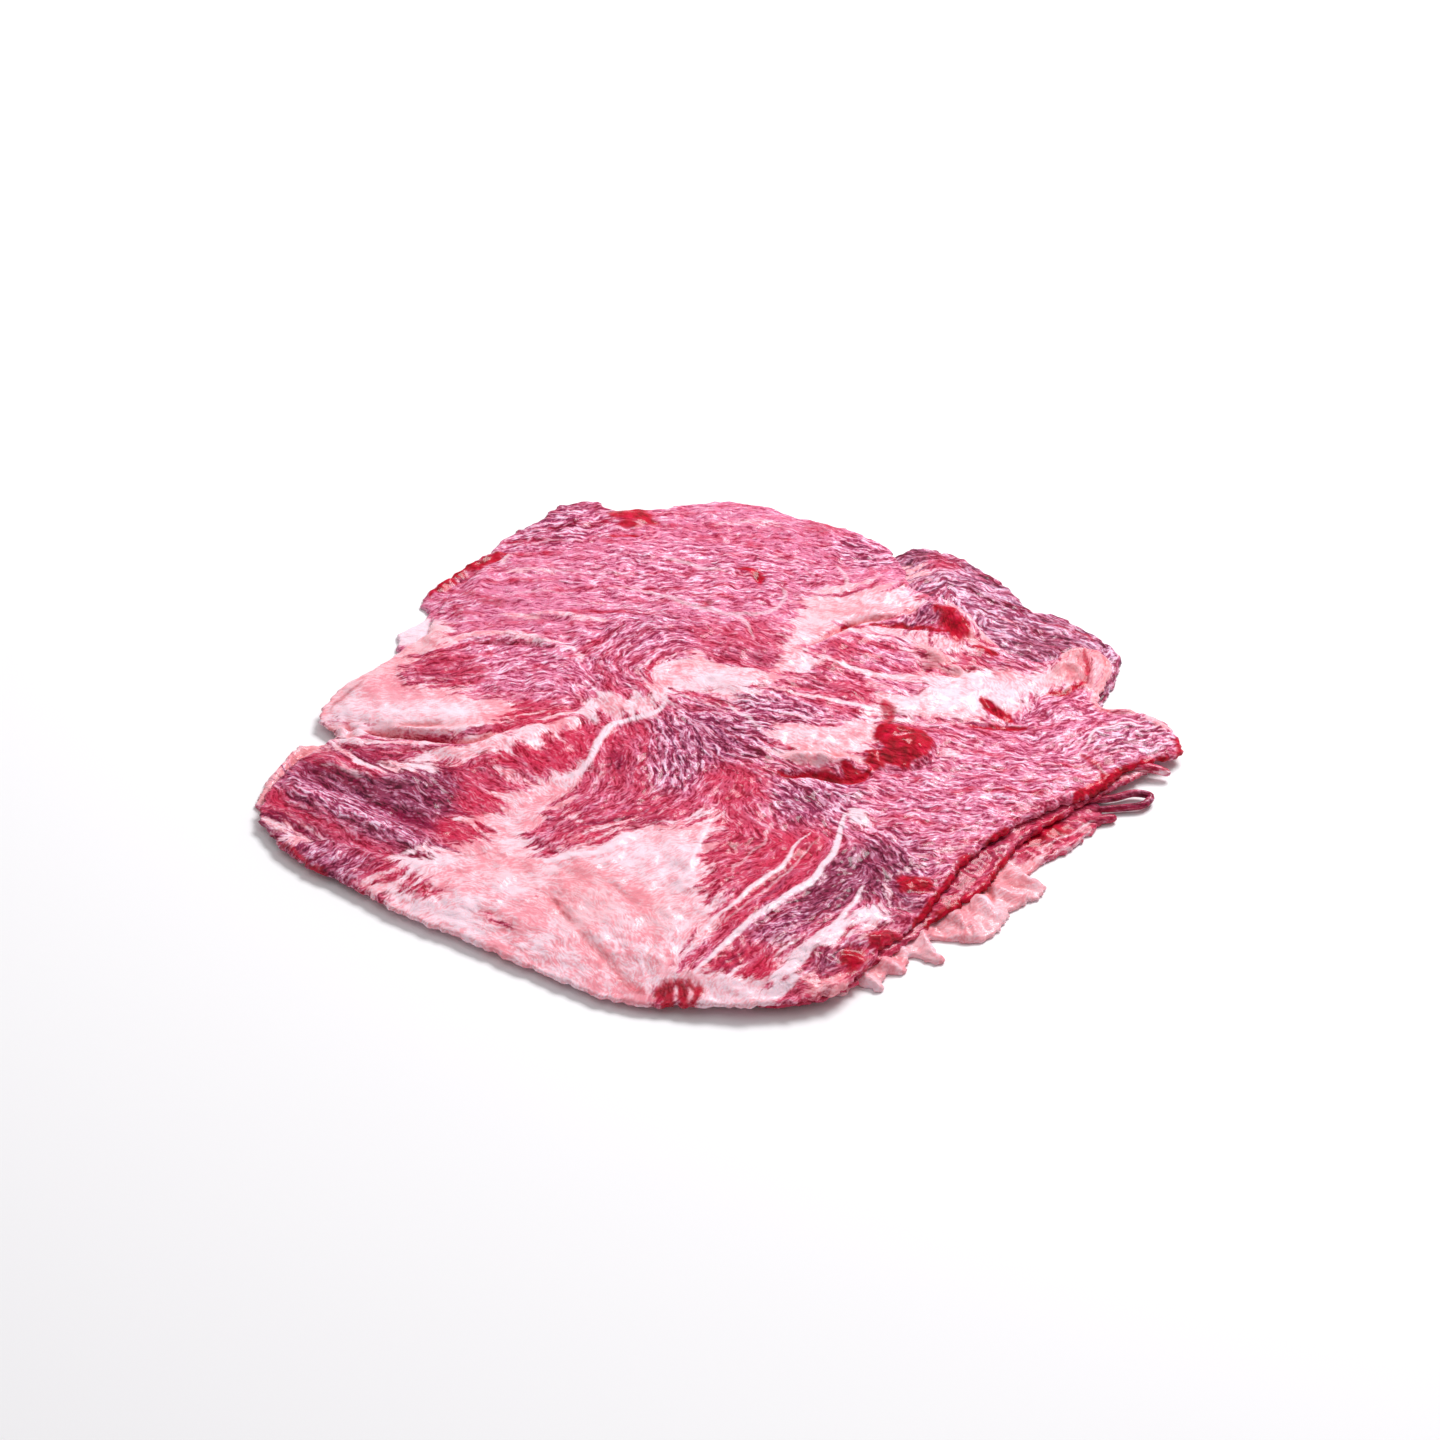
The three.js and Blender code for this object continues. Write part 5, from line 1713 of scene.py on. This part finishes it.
        (22, 30), (26, 34)]),
    Patch(k.PINK, [(28, 30), (36, 31), (41, 26), (38, 22), (30, 24)], 1.8, 0.7),
    Streak(k.SINEW_AND_HIGHLIGHT, [(0, 9), (3, 6), (6, 3), (8, 0.4)], 1, 0.6, 0.7),
    Patch(k.MAROON, [(0, 28.6), (8, 30), (13, 27), (11, 23.6), (4, 22.6), (-1, 24)], 1.6, 0.6),
    Patch(k.CRIMSON, [(-7, 37), (0, 38), (12, 38), (13, 31), (4, 29), (-6, 30)], 1.8, 0.8),
    Patch(k.FAT, [(30, 39), (34, 37.6), (40, 37), (44, 36), (48, 34), (52, 32), (57, 31), (60, 29.6),
        (56, 28.6), (50, 29.6), (46, 31), (42, 33.4), (36, 35), (31, 36.4)], 1.1),
    Patch(k.LILAC, [(38, 34), (42, 34), (46, 31), (43, 30), (38, 31.6)], 1.2, 0.8),
    Streak(k.PALE_FAT, [(20, 27), (24, 25), (30, 21.4), (36, 19.6), (42, 20.4)], 1.5, 0.3, 0.9),
    Streak(k.PALE_FAT, [(17, 30.6), (22, 34), (28, 36), (36, 35.6), (42, 33)], 1.6, 0.3, 0.9),
    Streak(k.PALE_FAT, [(37, 32.6), (41, 28.4), (43.6, 24.4), (42, 20.6)], 1.1, 0.3, 0.8),
    Streak(k.PALE_FAT, [(8, 17), (14, 13.6), (20, 11.6), (27, 10), (33, 9)], 1.2, 0.3, 0.8),
    Patch(k.CRIMSON, [(44, 28), (50, 29), (58, 28), (66, 24.6), (60, 24), (50, 22), (45, 23)]),
    Patch(k.LILAC, [(56, 29), (62, 28.6), (68, 24), (62, 23.6), (57, 26)], 1.2, 0.7),
    Streak(k.WET, [(54, 30.6), (57, 30), (60.6, 28.8)], 1.8, 0.8, 0.8),
    Patch(k.SALMON, [(42, 31), (45, 31.4), (47.4, 28), (50, 25.4), (47.6, 24), (44, 27)], 0.9, 1, 0.6),
    Streak(k.SALMON, [(49.6, 24.6), (51, 22.6), (53, 21.6)], 1.6, 0.6),
    # fold at the far right
    Patch(k.LILAC, [(39, 37.6), (42, 44), (46, 48), (49, 44), (46, 39)], 1.2),
    Patch(k.PURPLE, [(41, 40), (44, 45), (46, 44), (44, 40)], 1.2, 0.5),
    Patch(k.WET, [(46, 43.4), (48, 45), (51, 42), (53.4, 38), (53.4, 34.4), (50.4, 33.8),
        (48, 38)], 1, 0.8, 0.9),
    Streak(k.THIN_SINEW, [(47.4, 43), (50, 39.6), (51.6, 36)], 0.7, 0.8, 0.8),
    Patch(k.SALMON, [(52, 36), (56, 36), (60, 33.4), (56, 31.6), (52.6, 33.4)], 0.9, 0.85, 0.8),
    Streak(k.FAT, [(48, 48), (50, 46.4), (53, 43), (55.4, 39.6), (58, 36), (62, 32.6), (66, 29)], 2.4, 0.8),
    Streak(k.WET, [(31, 37.6), (34, 39), (38, 38.6), (44, 38), (49, 36.6)], 1.4, 0.6, 0.8),
    Streak(k.STAIN_AND_SHADE, [(17.6, 30.4), (20, 32.4), (24, 35.8), (27, 38.2), (30, 40), (33, 41), (37, 41.6),
        (41, 44)], 1.1),
    Streak(k.WET, [(25.4, 37), (27, 38.2), (29, 39.2)], 1.6, 0.5, 0.7),
    # seams of the far half
    Streak(k.FAT, [(-62, 29), (-58, 30), (-52, 31.5), (-46, 31), (-42, 30), (-38, 29), (-33, 26),
        (-30, 21)], 2, 0.8, 0.85),
    Streak(k.STAIN_AND_SHADE, [(-55, 28.4), (-45, 28.2), (-40, 27.4)], 0.8, 0.6, 0.7),
    Streak(k.FAT, [(-51, 38), (-45, 38.5), (-40, 39.5), (-34, 39), (-26, 37.4)], 1.6, 0.8, 0.75),
    Streak(k.SEAM, [(-24, 50), (-15, 47.5), (-10, 45), (-3, 42), (3, 40), (5, 36), (6, 32)], 1.5, 0.3),
    Streak(k.SEAM, [(-15, 62), (-10, 60), (-5, 58.5), (0, 57)], 1.5, 0.3),
    Streak(k.SEAM, [(9, 53), (12, 51), (13, 48), (12, 45), (9, 42), (5, 41), (0, 42)], 1.3, 0.3),
    Streak(k.SEAM, [(24, 61), (26, 57), (26.5, 53), (25, 49)], 1.3, 0.3),
    Streak(k.SEAM, [(-46, 55), (-38, 56.4), (-28, 55), (-20, 56)], 1.2, 0.3, 0.8),
    Streak(k.SEAM, [(-52, 46), (-42, 48), (-32, 46.6)], 1, 0.3, 0.8),
    Streak(k.SEAM, [(-36, 43), (-24, 43.6), (-14, 41)], 1, 0.3, 0.8),
    Streak(k.SEAM, [(8, 64), (16, 60), (20, 55)], 1, 0.3, 0.8),
    Streak(k.SALMON, [(-50, 55), (-44, 55.6), (-38, 55.4)], 1.4, 0.8, 0.5),
    Streak(k.PALE_FAT, [(-50.6, 58), (-49.4, 61), (-48.6, 64)], 2.4, 0.6, 0.8),
    Patch(k.WET, [(1.6, 57.6), (4, 58.6), (6.6, 57), (8.6, 53.4), (7, 53), (5, 55.4)], 0.7, 0.8, 0.6),
    Patch(k.STAIN_AND_SHADE, [(11.6, 53), (13.6, 53), (13.6, 51), (11.6, 51)], 0.6),
    Patch(k.WET, [(-5.6, 45.4), (-3.6, 45.4), (-3.6, 43.6), (-5.6, 43.6)], 0.5, 0.5, 0.5),
    Patch(k.STAIN_AND_SHADE, [(-49, 65), (-40, 66), (-40, 62.6), (-48, 62)], 1.2),
    Patch(k.STAIN_AND_SHADE, [(-61, 41), (-57, 40), (-57, 38), (-61, 38.6)], 1),
    Patch(k.STAIN_AND_SHADE, [(-59, 48), (-56, 47), (-56, 45), (-59, 46)], 1),
    Patch(k.STAIN_AND_SHADE, [(-55, 45), (-50, 44.6), (-50, 42), (-55, 42.6)], 1),
    Patch(k.LILAC, [(-63, 45), (-58, 44), (-58, 40), (-62, 41)], 1.5, 0.5),
    # painted shade along the top slice's far edge, where it lies over the back slice
    Streak(k.STAIN_AND_SHADE, [(-10, 70.5), (-5, 70), (0, 69.7), (4, 69), (7, 67.5), (10, 66), (14, 63), (18, 61),
        (22, 60)], 0.9, 0.5, 0.9),
]

TOP_WET = [
    # torn lump and tear in the middle
    Patch(k.WET, [(32.6, -1), (34, 2), (37, 2.6), (41, 1.6), (44, -1.6), (45, -5), (43, -9), (38.6, -11.4),
        (35, -10.4), (34, -6)], 0.8, 1, 0.3),
    Streak(k.PALE_FAT, [(36.4, -3), (39, -2.4), (41.6, -0.6)], 0.9, 0.5, 0.8),
    Streak(k.WET, [(34.4, 11), (35.6, 7), (35.4, 2.6)], 3, 0.3, 0.6),
    Streak(k.WET, [(11.6, -14.4), (14, -15), (18, -14.5), (21, -15), (24, -16), (29, -15.8),
        (33, -11)], 1.2, 0.3),
    Patch(k.SALMON, [(13, -9), (17, -7.6), (20, -8), (23, -9), (28, -8.6), (29.6, -11), (27, -13.4),
        (23, -12.6), (20, -12), (15, -12.6)], 0.9, 0.7, 0.3),
    Patch(k.WET, [(20.4, -13.4), (22.8, -13), (23.4, -15.2), (21, -15.6)], 0.5, 0.6, 0.5),
    Patch(k.WET, [(25, -13.6), (28.4, -12.6), (29.6, -14.8), (26, -16)], 0.5, 0.9, 0.5),
    Patch(k.WET, [(30.2, -8), (33.6, -7.6), (34.4, -11.4), (31, -11.4)], 0.6, 0.8, 0.5),
    Streak(k.WET, [(56, 13), (57, 11), (58.5, 8.5), (61, 6.5), (62.5, 5)], 2.4, 0.3),
    Streak(k.WET, [(53, 3.5), (57, 2.8), (61, 2.7), (66, 2.5)], 1.5, 0.3, 0.8),
    # white knot, seam and rims at the right
    Patch(k.PALE_FAT, [(46.6, -5.6), (50, -5.4), (50, -8.6), (47, -8.6)], 0.9, 0.7, 0.3),
    Patch(k.CRINKLED_SHEEN, [(84, 4), (90, 5), (91, 2), (88, 0), (85, 1)], 1),
    Streak(k.SINEW_AND_HIGHLIGHT, [(77, -4), (79, -2), (79.4, 1), (81.4, 3), (84, 4), (88, 5), (91.4, 4.6)], 0.9),
    Streak(k.THIN_SINEW, [(66, -12), (69, -16), (72, -20)], 0.8, 0.3, 0.8),
    Streak(k.THIN_SINEW, [(70, -8), (73, -13), (76, -17)], 0.7, 0.3, 0.6),
    Streak(k.WET, [(97, -7), (92, -8.6), (89, -10), (86, -12.4), (84, -14.8), (82, -16.6), (79, -18.8),
        (75, -21)], 3.8, 0.7),
    Streak(k.WET, [(76.5, -5.5), (79, -8), (81, -11), (82, -14)], 1.6, 0.3, 0.6),
    Streak(k.WET, [(98, 0.6), (99, -3), (98.4, -6)], 2, 0.3, 0.7),
    Streak(k.WET, [(70, 15), (74, 16), (77, 18), (79, 20)], 1.4, 0.3, 0.8),
    Streak(k.SALMON, [(80.5, 14), (81.6, 10.6), (84.6, 9.6), (88.6, 9.8), (91, 8.4), (94, 5.4),
        (97, 2)], 2.6, 0.3),
    Streak(k.WET, [(80.6, 12), (82.6, 9.6), (86, 8.6), (89, 8.6)], 0.9, 0.3, 0.5),
    Streak(k.LILAC, [(90, 8), (91.5, 5.5), (92, 3.5)], 1.2, 0.3),
    # rolled flap
    Patch(k.SALMON, [(70, 19), (73, 26), (75, 34), (86, 34), (88, 25), (82, 14), (77, 19)], 0.9, 0.75, 0.3),
    Patch(k.FAT, [(82, 32), (86, 31), (87, 26), (84, 25), (82, 28)], 0.8, 0.8, 0.3),
    Streak(k.THIN_SINEW, [(75.6, 25.6), (77, 28.4), (78, 31)], 0.7),
    Streak(k.WET, [(79, 31), (79.6, 25), (79.4, 19)], 1.2, 0.3, 0.6),
    Streak(k.SALMON, [(72.5, 22), (74, 24.5), (77, 24), (78, 21.5), (76, 21)], 2),
    # near right edge
    Streak(k.WET, [(62, -31.6), (58, -35.2), (56, -39), (54, -43.4), (51.4, -46.6), (49.4, -49),
        (47, -53.4), (44.6, -57.6), (42.4, -61.6), (40.4, -66), (38, -70)], 2, 0.3),
    Patch(k.WET, [(51, -41.6), (55, -41), (55.6, -46), (52, -49), (49.6, -47)], 1, 0.8, 0.5),
    Patch(k.WET, [(37, -49.4), (42, -49.6), (45, -52), (43, -54.6), (38, -54.4)], 0.8, 0.8, 0.3),
    Patch(k.PURPLE, [(35, -55), (43, -55), (44.6, -58), (38, -60.4), (35, -59)], 0.9, 0.8, 0.3),
    Streak(k.CRIMSON, [(35, -60), (38, -62), (41, -64.4)], 2.4, 0.3),
    Patch(k.WET, [(33, -67), (38, -68.4), (39, -71), (35, -73.6), (31, -71)], 0.9, 0.7, 0.3),
    Streak(k.THIN_FAT, [(35, -50), (34.6, -55), (35.6, -60)], 1.2),
    Streak(k.THIN_FAT, [(36, -49), (40, -46), (44, -44)], 1.2),
    Streak(k.SALMON, [(40, -42.6), (47, -40), (54, -37.6)], 1.4, 0.3, 0.6),
    Patch(k.CRINKLED_SHEEN, [(31, -60), (34.6, -61), (34, -66.6), (30.6, -65)], 1),
    Streak(k.THIN_FAT, [(30, -76), (32, -79), (34, -80)], 1.4),
]


TOP_FOLDS = [
    # ridges of the left lobe
    Fold([(-94, -23), (-87, -28), (-79, -33.4), (-71, -38.6), (-62, -42.6)], 2.8, 2),
    Fold([(-96, -33), (-88, -38.6), (-80, -44), (-72, -48.6)], 2.6, -0.5),
    Fold([(-93, -41), (-85, -47.6), (-77, -52.6), (-70, -56)], 2.6, 0.6),
    Fold([(-91, -18), (-84, -22.6), (-76, -27.4), (-68, -32), (-60, -36)], 2.2, -1.2),
    Fold([(-92, -12.6), (-85, -15.4), (-78, -18.6), (-71, -21), (-62, -22)], 2.6, 1.4),
    Fold([(-75, -23.4), (-70, -21), (-65.4, -21)], 1.2, 0.5),
    # slit
    Fold([(-86, 0), (-76, 0.6), (-66, 1), (-56, 0.6), (-49, 2.4)], 2.4, 0.8),
    Fold([(-87, -3.4), (-76, -4.2), (-70, -5.2), (-64, -5.8), (-58, -6.8), (-53, -5.6), (-48, -2),
        (-44, 1)], 0.8, -2), Fold([(-73, -3.2), (-64, -3.8), (-57, -3.4), (-50, -1)], 1.1, 1.2),
    Fold([(-71, -2.4), (-66, -1.8), (-61, -1.2)], 0.5, -0.5),
    Fold([(-78, -9), (-66, -9), (-58, -9.6)], 1.6, 0.6),
    # seams
    Fold([(-62, 29), (-52, 31.5), (-42, 30.4), (-33, 26.4)], 1.2, 0.8),
    Fold([(-57, 28.4), (-45, 28.4), (-37, 26.6)], 0.6, -0.8),
    Fold([(-52, 38), (-42, 39.3), (-34, 39), (-28, 37.6)], 0.9, 0.6),
    Fold([(-51, 36.6), (-42, 37.6), (-34, 37.4)], 0.5, -0.5),
    Fold([(-14, 6), (-20, 2.4), (-24.5, -0.6), (-26.6, -5), (-28, -9.6), (-29.6, -14.6),
        (-35, -19)], 1.1, 0.5), Fold([(-60, -14.6), (-50, -7.4), (-40, -4), (-30, 3.6), (-20, 7)], 2.2, 0.5),
    # near fat
    Fold([(-58, -54), (-36, -66), (-18, -80)], 8, 0.6),
    Fold([(-39, -56), (-35, -61), (-31, -67), (-26, -75), (-21, -82), (-16, -89)], 1.5, -0.7),
    Fold([(-24, -52), (-21, -56), (-17, -61)], 0.7, -0.4), Fold([(-24, -60), (-18, -62.5)], 0.6, -0.3),
    Fold([(-14, -68), (-13.5, -73), (-15, -78), (-14, -84)], 0.5, -0.4),
    Fold([(-2, -31), (-4.6, -38), (-6, -45), (-9, -54)], 0.7, 0.3),
    Fold([(-48.6, -63), (-46, -67), (-43.6, -71)], 1.4, -0.5),
    Fold([(-37, -47.6), (-31, -45), (-26, -43.6), (-20, -39)], 0.9, 0.35),
    Fold([(19, -35.5), (14, -44.5), (6.5, -54), (-4, -69)], 1, 0.4),
    Fold([(24.6, -37), (19.5, -51), (12, -59), (4, -68.5), (-5, -82)], 1.1, 0.5),
    Fold([(22, -48), (16, -57), (8, -66), (2, -74)], 1.2, -0.3),
    Fold([(30, -52), (24, -65), (14, -78)], 0.9, 0.5),
    Fold([(32, -60), (26, -66), (17, -76), (12, -86)], 1.6, 0.7),
    # tear in the middle and the fat over it
    Fold([(11, -14.6), (14, -15.4), (18, -14.8), (21, -15.4), (24, -16.6), (29, -16.4),
        (33, -12.4)], 0.9, -2.1),
    Fold([(31, -11.8), (36, -13), (41, -12), (45.4, -8.6), (46.6, -4)], 0.9, -1.1),
    Fold([(13, -11.4), (17, -10.4), (20, -9.6), (24, -12), (28.6, -12)], 1.6, 1.1),
    Fold([(14, -2), (24, -3), (32, -2)], 4, 0.8), Fold([(33, 14), (42, 12), (52, 12), (61, 14)], 4.6, 0.7),
    Fold([(56, 13.4), (58.5, 8.5), (62.5, 5)], 1, -0.8), Fold([(53, 3.5), (60, 2.7), (66, 2.5)], 0.7, -0.5),
    Fold([(-9, 17), (-3, 16), (3, 17), (8, 20)], 3.6, 0.6),
    # fold at the far right
    Fold([(42, 43), (47, 44), (51, 41), (53.6, 36.6), (58, 33.6)], 2.2, 2),
    Fold([(17.6, 30.2), (24, 35.8), (30, 40), (37, 41.8), (42, 45)], 0.7, -1.4),
    Fold([(5, 53), (10, 52.6), (13.4, 48.6), (12, 44.6), (7, 42), (0, 42)], 0.7, 0.4),
    Fold([(22, 61), (26, 57), (26.5, 53), (25, 49)], 0.7, 0.4),
    Fold([(-24, 50), (-12, 46), (2, 40.6)], 0.8, 0.35),
    Fold([(-47, 53.6), (-38, 54.8), (-28, 54)], 0.6, -0.4),
    Fold([(-52, 50), (-44, 51.4), (-34, 51)], 0.6, -0.35),
    Fold([(-58, 43), (-50, 44.4), (-40, 44)], 0.8, 0.35), Fold([(-10, 66), (2, 65), (12, 60)], 0.8, 0.35),
    Fold([(20, 35.6), (27, 41), (36, 44.6)], 2.2, 0.7), Fold([(33, 38.8), (40, 38), (48, 36.6)], 0.7, -0.7),
    Fold([(43, 30.4), (45, 28), (48.4, 25.6)], 1.3, 1.3), Fold([(46, 23.4), (50, 21), (55, 24)], 0.8, -0.6),
    Fold([(54, 30.6), (60, 29)], 0.9, 0.6), Fold([(49.4, 24.6), (51, 22.8), (52.8, 21.6)], 0.9, 1),
    # near right edge, flap and rims
    Fold([(88, -9.6), (82, -14.6), (76, -19), (68, -25.6), (60, -32.6), (54, -41), (48, -50),
        (42, -60)], 2.6, 0.8), Fold([(74, 30.6), (79, 32.4), (84.4, 31), (85.4, 26)], 1.8, 1.8),
    Fold([(81, 30), (81.6, 24), (80.6, 17)], 1.5, 1.2), Fold([(77.4, 30), (77.6, 25)], 0.9, -1),
    Fold([(79.4, 29), (79.4, 23), (78.6, 18)], 0.7, -0.8),
    Fold([(72.6, 22.4), (74, 24.8), (77, 24.4), (78, 21.8), (75.6, 20.8)], 0.9, 1.5),
    Fold([(83.4, 29), (83.6, 25)], 0.6, -0.6),
    Fold([(80.6, 13), (81.6, 10.4), (85, 9.4), (89, 9.4), (92.6, 6.4), (96, 2), (98, -2)], 1.1, 1),
    Fold([(70, 14.4), (75, 15.8), (79, 18.6)], 0.7, -0.6),
    Fold([(78, -4), (79.4, 0), (84, 3.6), (90, 4.8)], 0.7, 0.3),
]

TOP_LUMPS = [
    Lump((-83, -5.2), (1.6, 2), 1.6), Lump((-79, -4.4), (1.7, 2.2), 1.6, 20),
    Lump((-80.4, -8.6), (2.4, 1.2), 1.2), Lump((-85.4, -9), (2.4, 1.2), 1), Lump((-76, -7), (1.8, 1), 0.8),
    Lump((-64, 29), (2.6, 3.6), 1.1, -10), Lump((38.8, -4.6), (6, 4.6), 2.2, -15),
    Lump((37, 0.4), (3.6, 1.9), 1), Lump((39.4, -2), (4.4, 0.6), -0.8, 25),
    Lump((42, -7.6), (2.4, 2.2), 0.6), Lump((44, 23.4), (1.7, 1.2), -0.8),
    Lump((21.6, -10.6), (2.2, 1.6), 1), Lump((26.6, -11.4), (2.6, 1.7), 1.4),
    Lump((31.4, -8.8), (1.8, 1.8), 1), Lump((16.4, -9.6), (2.6, 1.4), 0.8),
    Lump((-20, 62.4), (4.2, 1.9), 0.8), Lump((-49.4, 61), (1.8, 3.2), 1.2),
    Lump((7.4, 54), (1.4, 1), -0.9, -40), Lump((4, 57.2), (2.6, 1.3), 0.6),
    Lump((-0.5, 57), (0.8, 0.7), -0.5), Lump((12.5, 52), (1, 0.8), -0.5), Lump((-4.5, 44.5), (1, 0.8), -0.5),
    Lump((40.6, -52), (3.8, 2.2), 1, 10), Lump((40, -57.4), (4.8, 2.2), 1.1, 8),
    Lump((38.4, -62.4), (3.6, 1.2), 0.9, -32), Lump((35.6, -70.4), (4.2, 2.2), 1.2, -8),
    Lump((32, -78), (2.4, 1.4), 0.7, -20), Lump((29, -69), (2.8, 2.6), 0.9),
    Lump((27.6, -77), (2.6, 2.2), 0.7), Lump((53, -45), (2.2, 3), 0.9), Lump((29, -30), (2.4, 3.4), 0.6),
    Lump((48.4, -7), (2, 1.6), 0.4), Lump((23, -86), (3.4, 2.2), 0.8, 20),
]


def top_slice() -> Slice:
    """The large slice on top.

    Returns:
        Its drawn outline and features.
    """
    return Slice(
        name="top_slice",
        slot="marbled_lean",
        raggedness=0.6,
        seed=41,
        outline=[
            (-87, -3), (-85.4, 4.5), (-75, 15), (-71.4, 21.5), (-65.4, 28.5), (-63.4, 37), (-54, 52.8),
            (-45, 58.6), (-33, 61), (-27, 65), (-12, 65), (0, 64.4), (9, 61.4), (22, 56), (40, 47.6),
            (45.5, 42.6), (51, 39.4), (60, 27), (66.6, 21), (72, 20.6), (76, 24.6), (83.6, 26), (86, 20),
            (82.8, 11), (83.6, 6), (90, 5), (96, 2), (99.8, -4.4), (99.4, -9), (94, -12.2), (86.6, -17.2),
            (79.4, -25.4), (62.4, -38), (51, -53.6), (40.8, -71.6), (34.4, -78.6), (30, -85.6),
            (24.5, -92.6), (8, -96), (-12, -95.6), (-26, -91.6), (-42.4, -81.4), (-60.4, -71.2),
            (-77.4, -59.4), (-88.6, -50.8), (-95.8, -42), (-97.8, -36), (-95.4, -27), (-91.4, -19),
            (-86.6, -13.4), (-83, -8.8),
        ],
        shade=Shade.ROSE,
        features=TOP_LEAN + TOP_FAT + TOP_WET,
        folds=TOP_FOLDS,
        lumps=TOP_LUMPS,
    )


def main() -> None:
    """Builds the slices, dresses them and sets up the studio."""
    logging.basicConfig(level=logging.INFO, format="%(message)s")
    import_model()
    Studio().build()
    heights = Ground((-112.0, -104.0), (112.0, 104.0), 0.7)
    layout = Ground((-106.0, -104.0), (106.0, 92.0), 0.3)
    weave = Weave(layout, Grain(layout, GRAIN_STATIONS))
    greyer = Tone((0.15, 0.050, 0.105), (0.38, 0.175, 0.295), (0.66, 0.45, 0.61))
    meats = {"dark_lean": Meat(mauve=greyer), "red_lean": Meat(), "marbled_lean": Meat()}
    finishes = {slot: meat.build(slot) for slot, meat in meats.items()}
    slices = [bottom_slice(), back_slice(), middle_slice(), top_slice()]
    nodes = {"bottom_slice": "slice_bottom", "back_slice": "slice_back",
             "middle_slice": "slice_middle", "top_slice": "slice_top"}
    pile = np.zeros(heights.x.shape)
    for piece in slices:
        pile = piece.drape(heights, pile)
    for order, piece in enumerate(slices):
        cutter = Cutter(heights, layout, weave, Spinner(finishes[piece.slot]))
        made = cutter.cut(piece, slices[order + 1 :])
        made.data.materials.append(finishes[piece.slot])
        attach(made, BODY)
        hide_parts(nodes[piece.name])
        log.info("%s: %d triangles", piece.name, len(made.data.polygons))


if __name__ == "__main__":
    main()
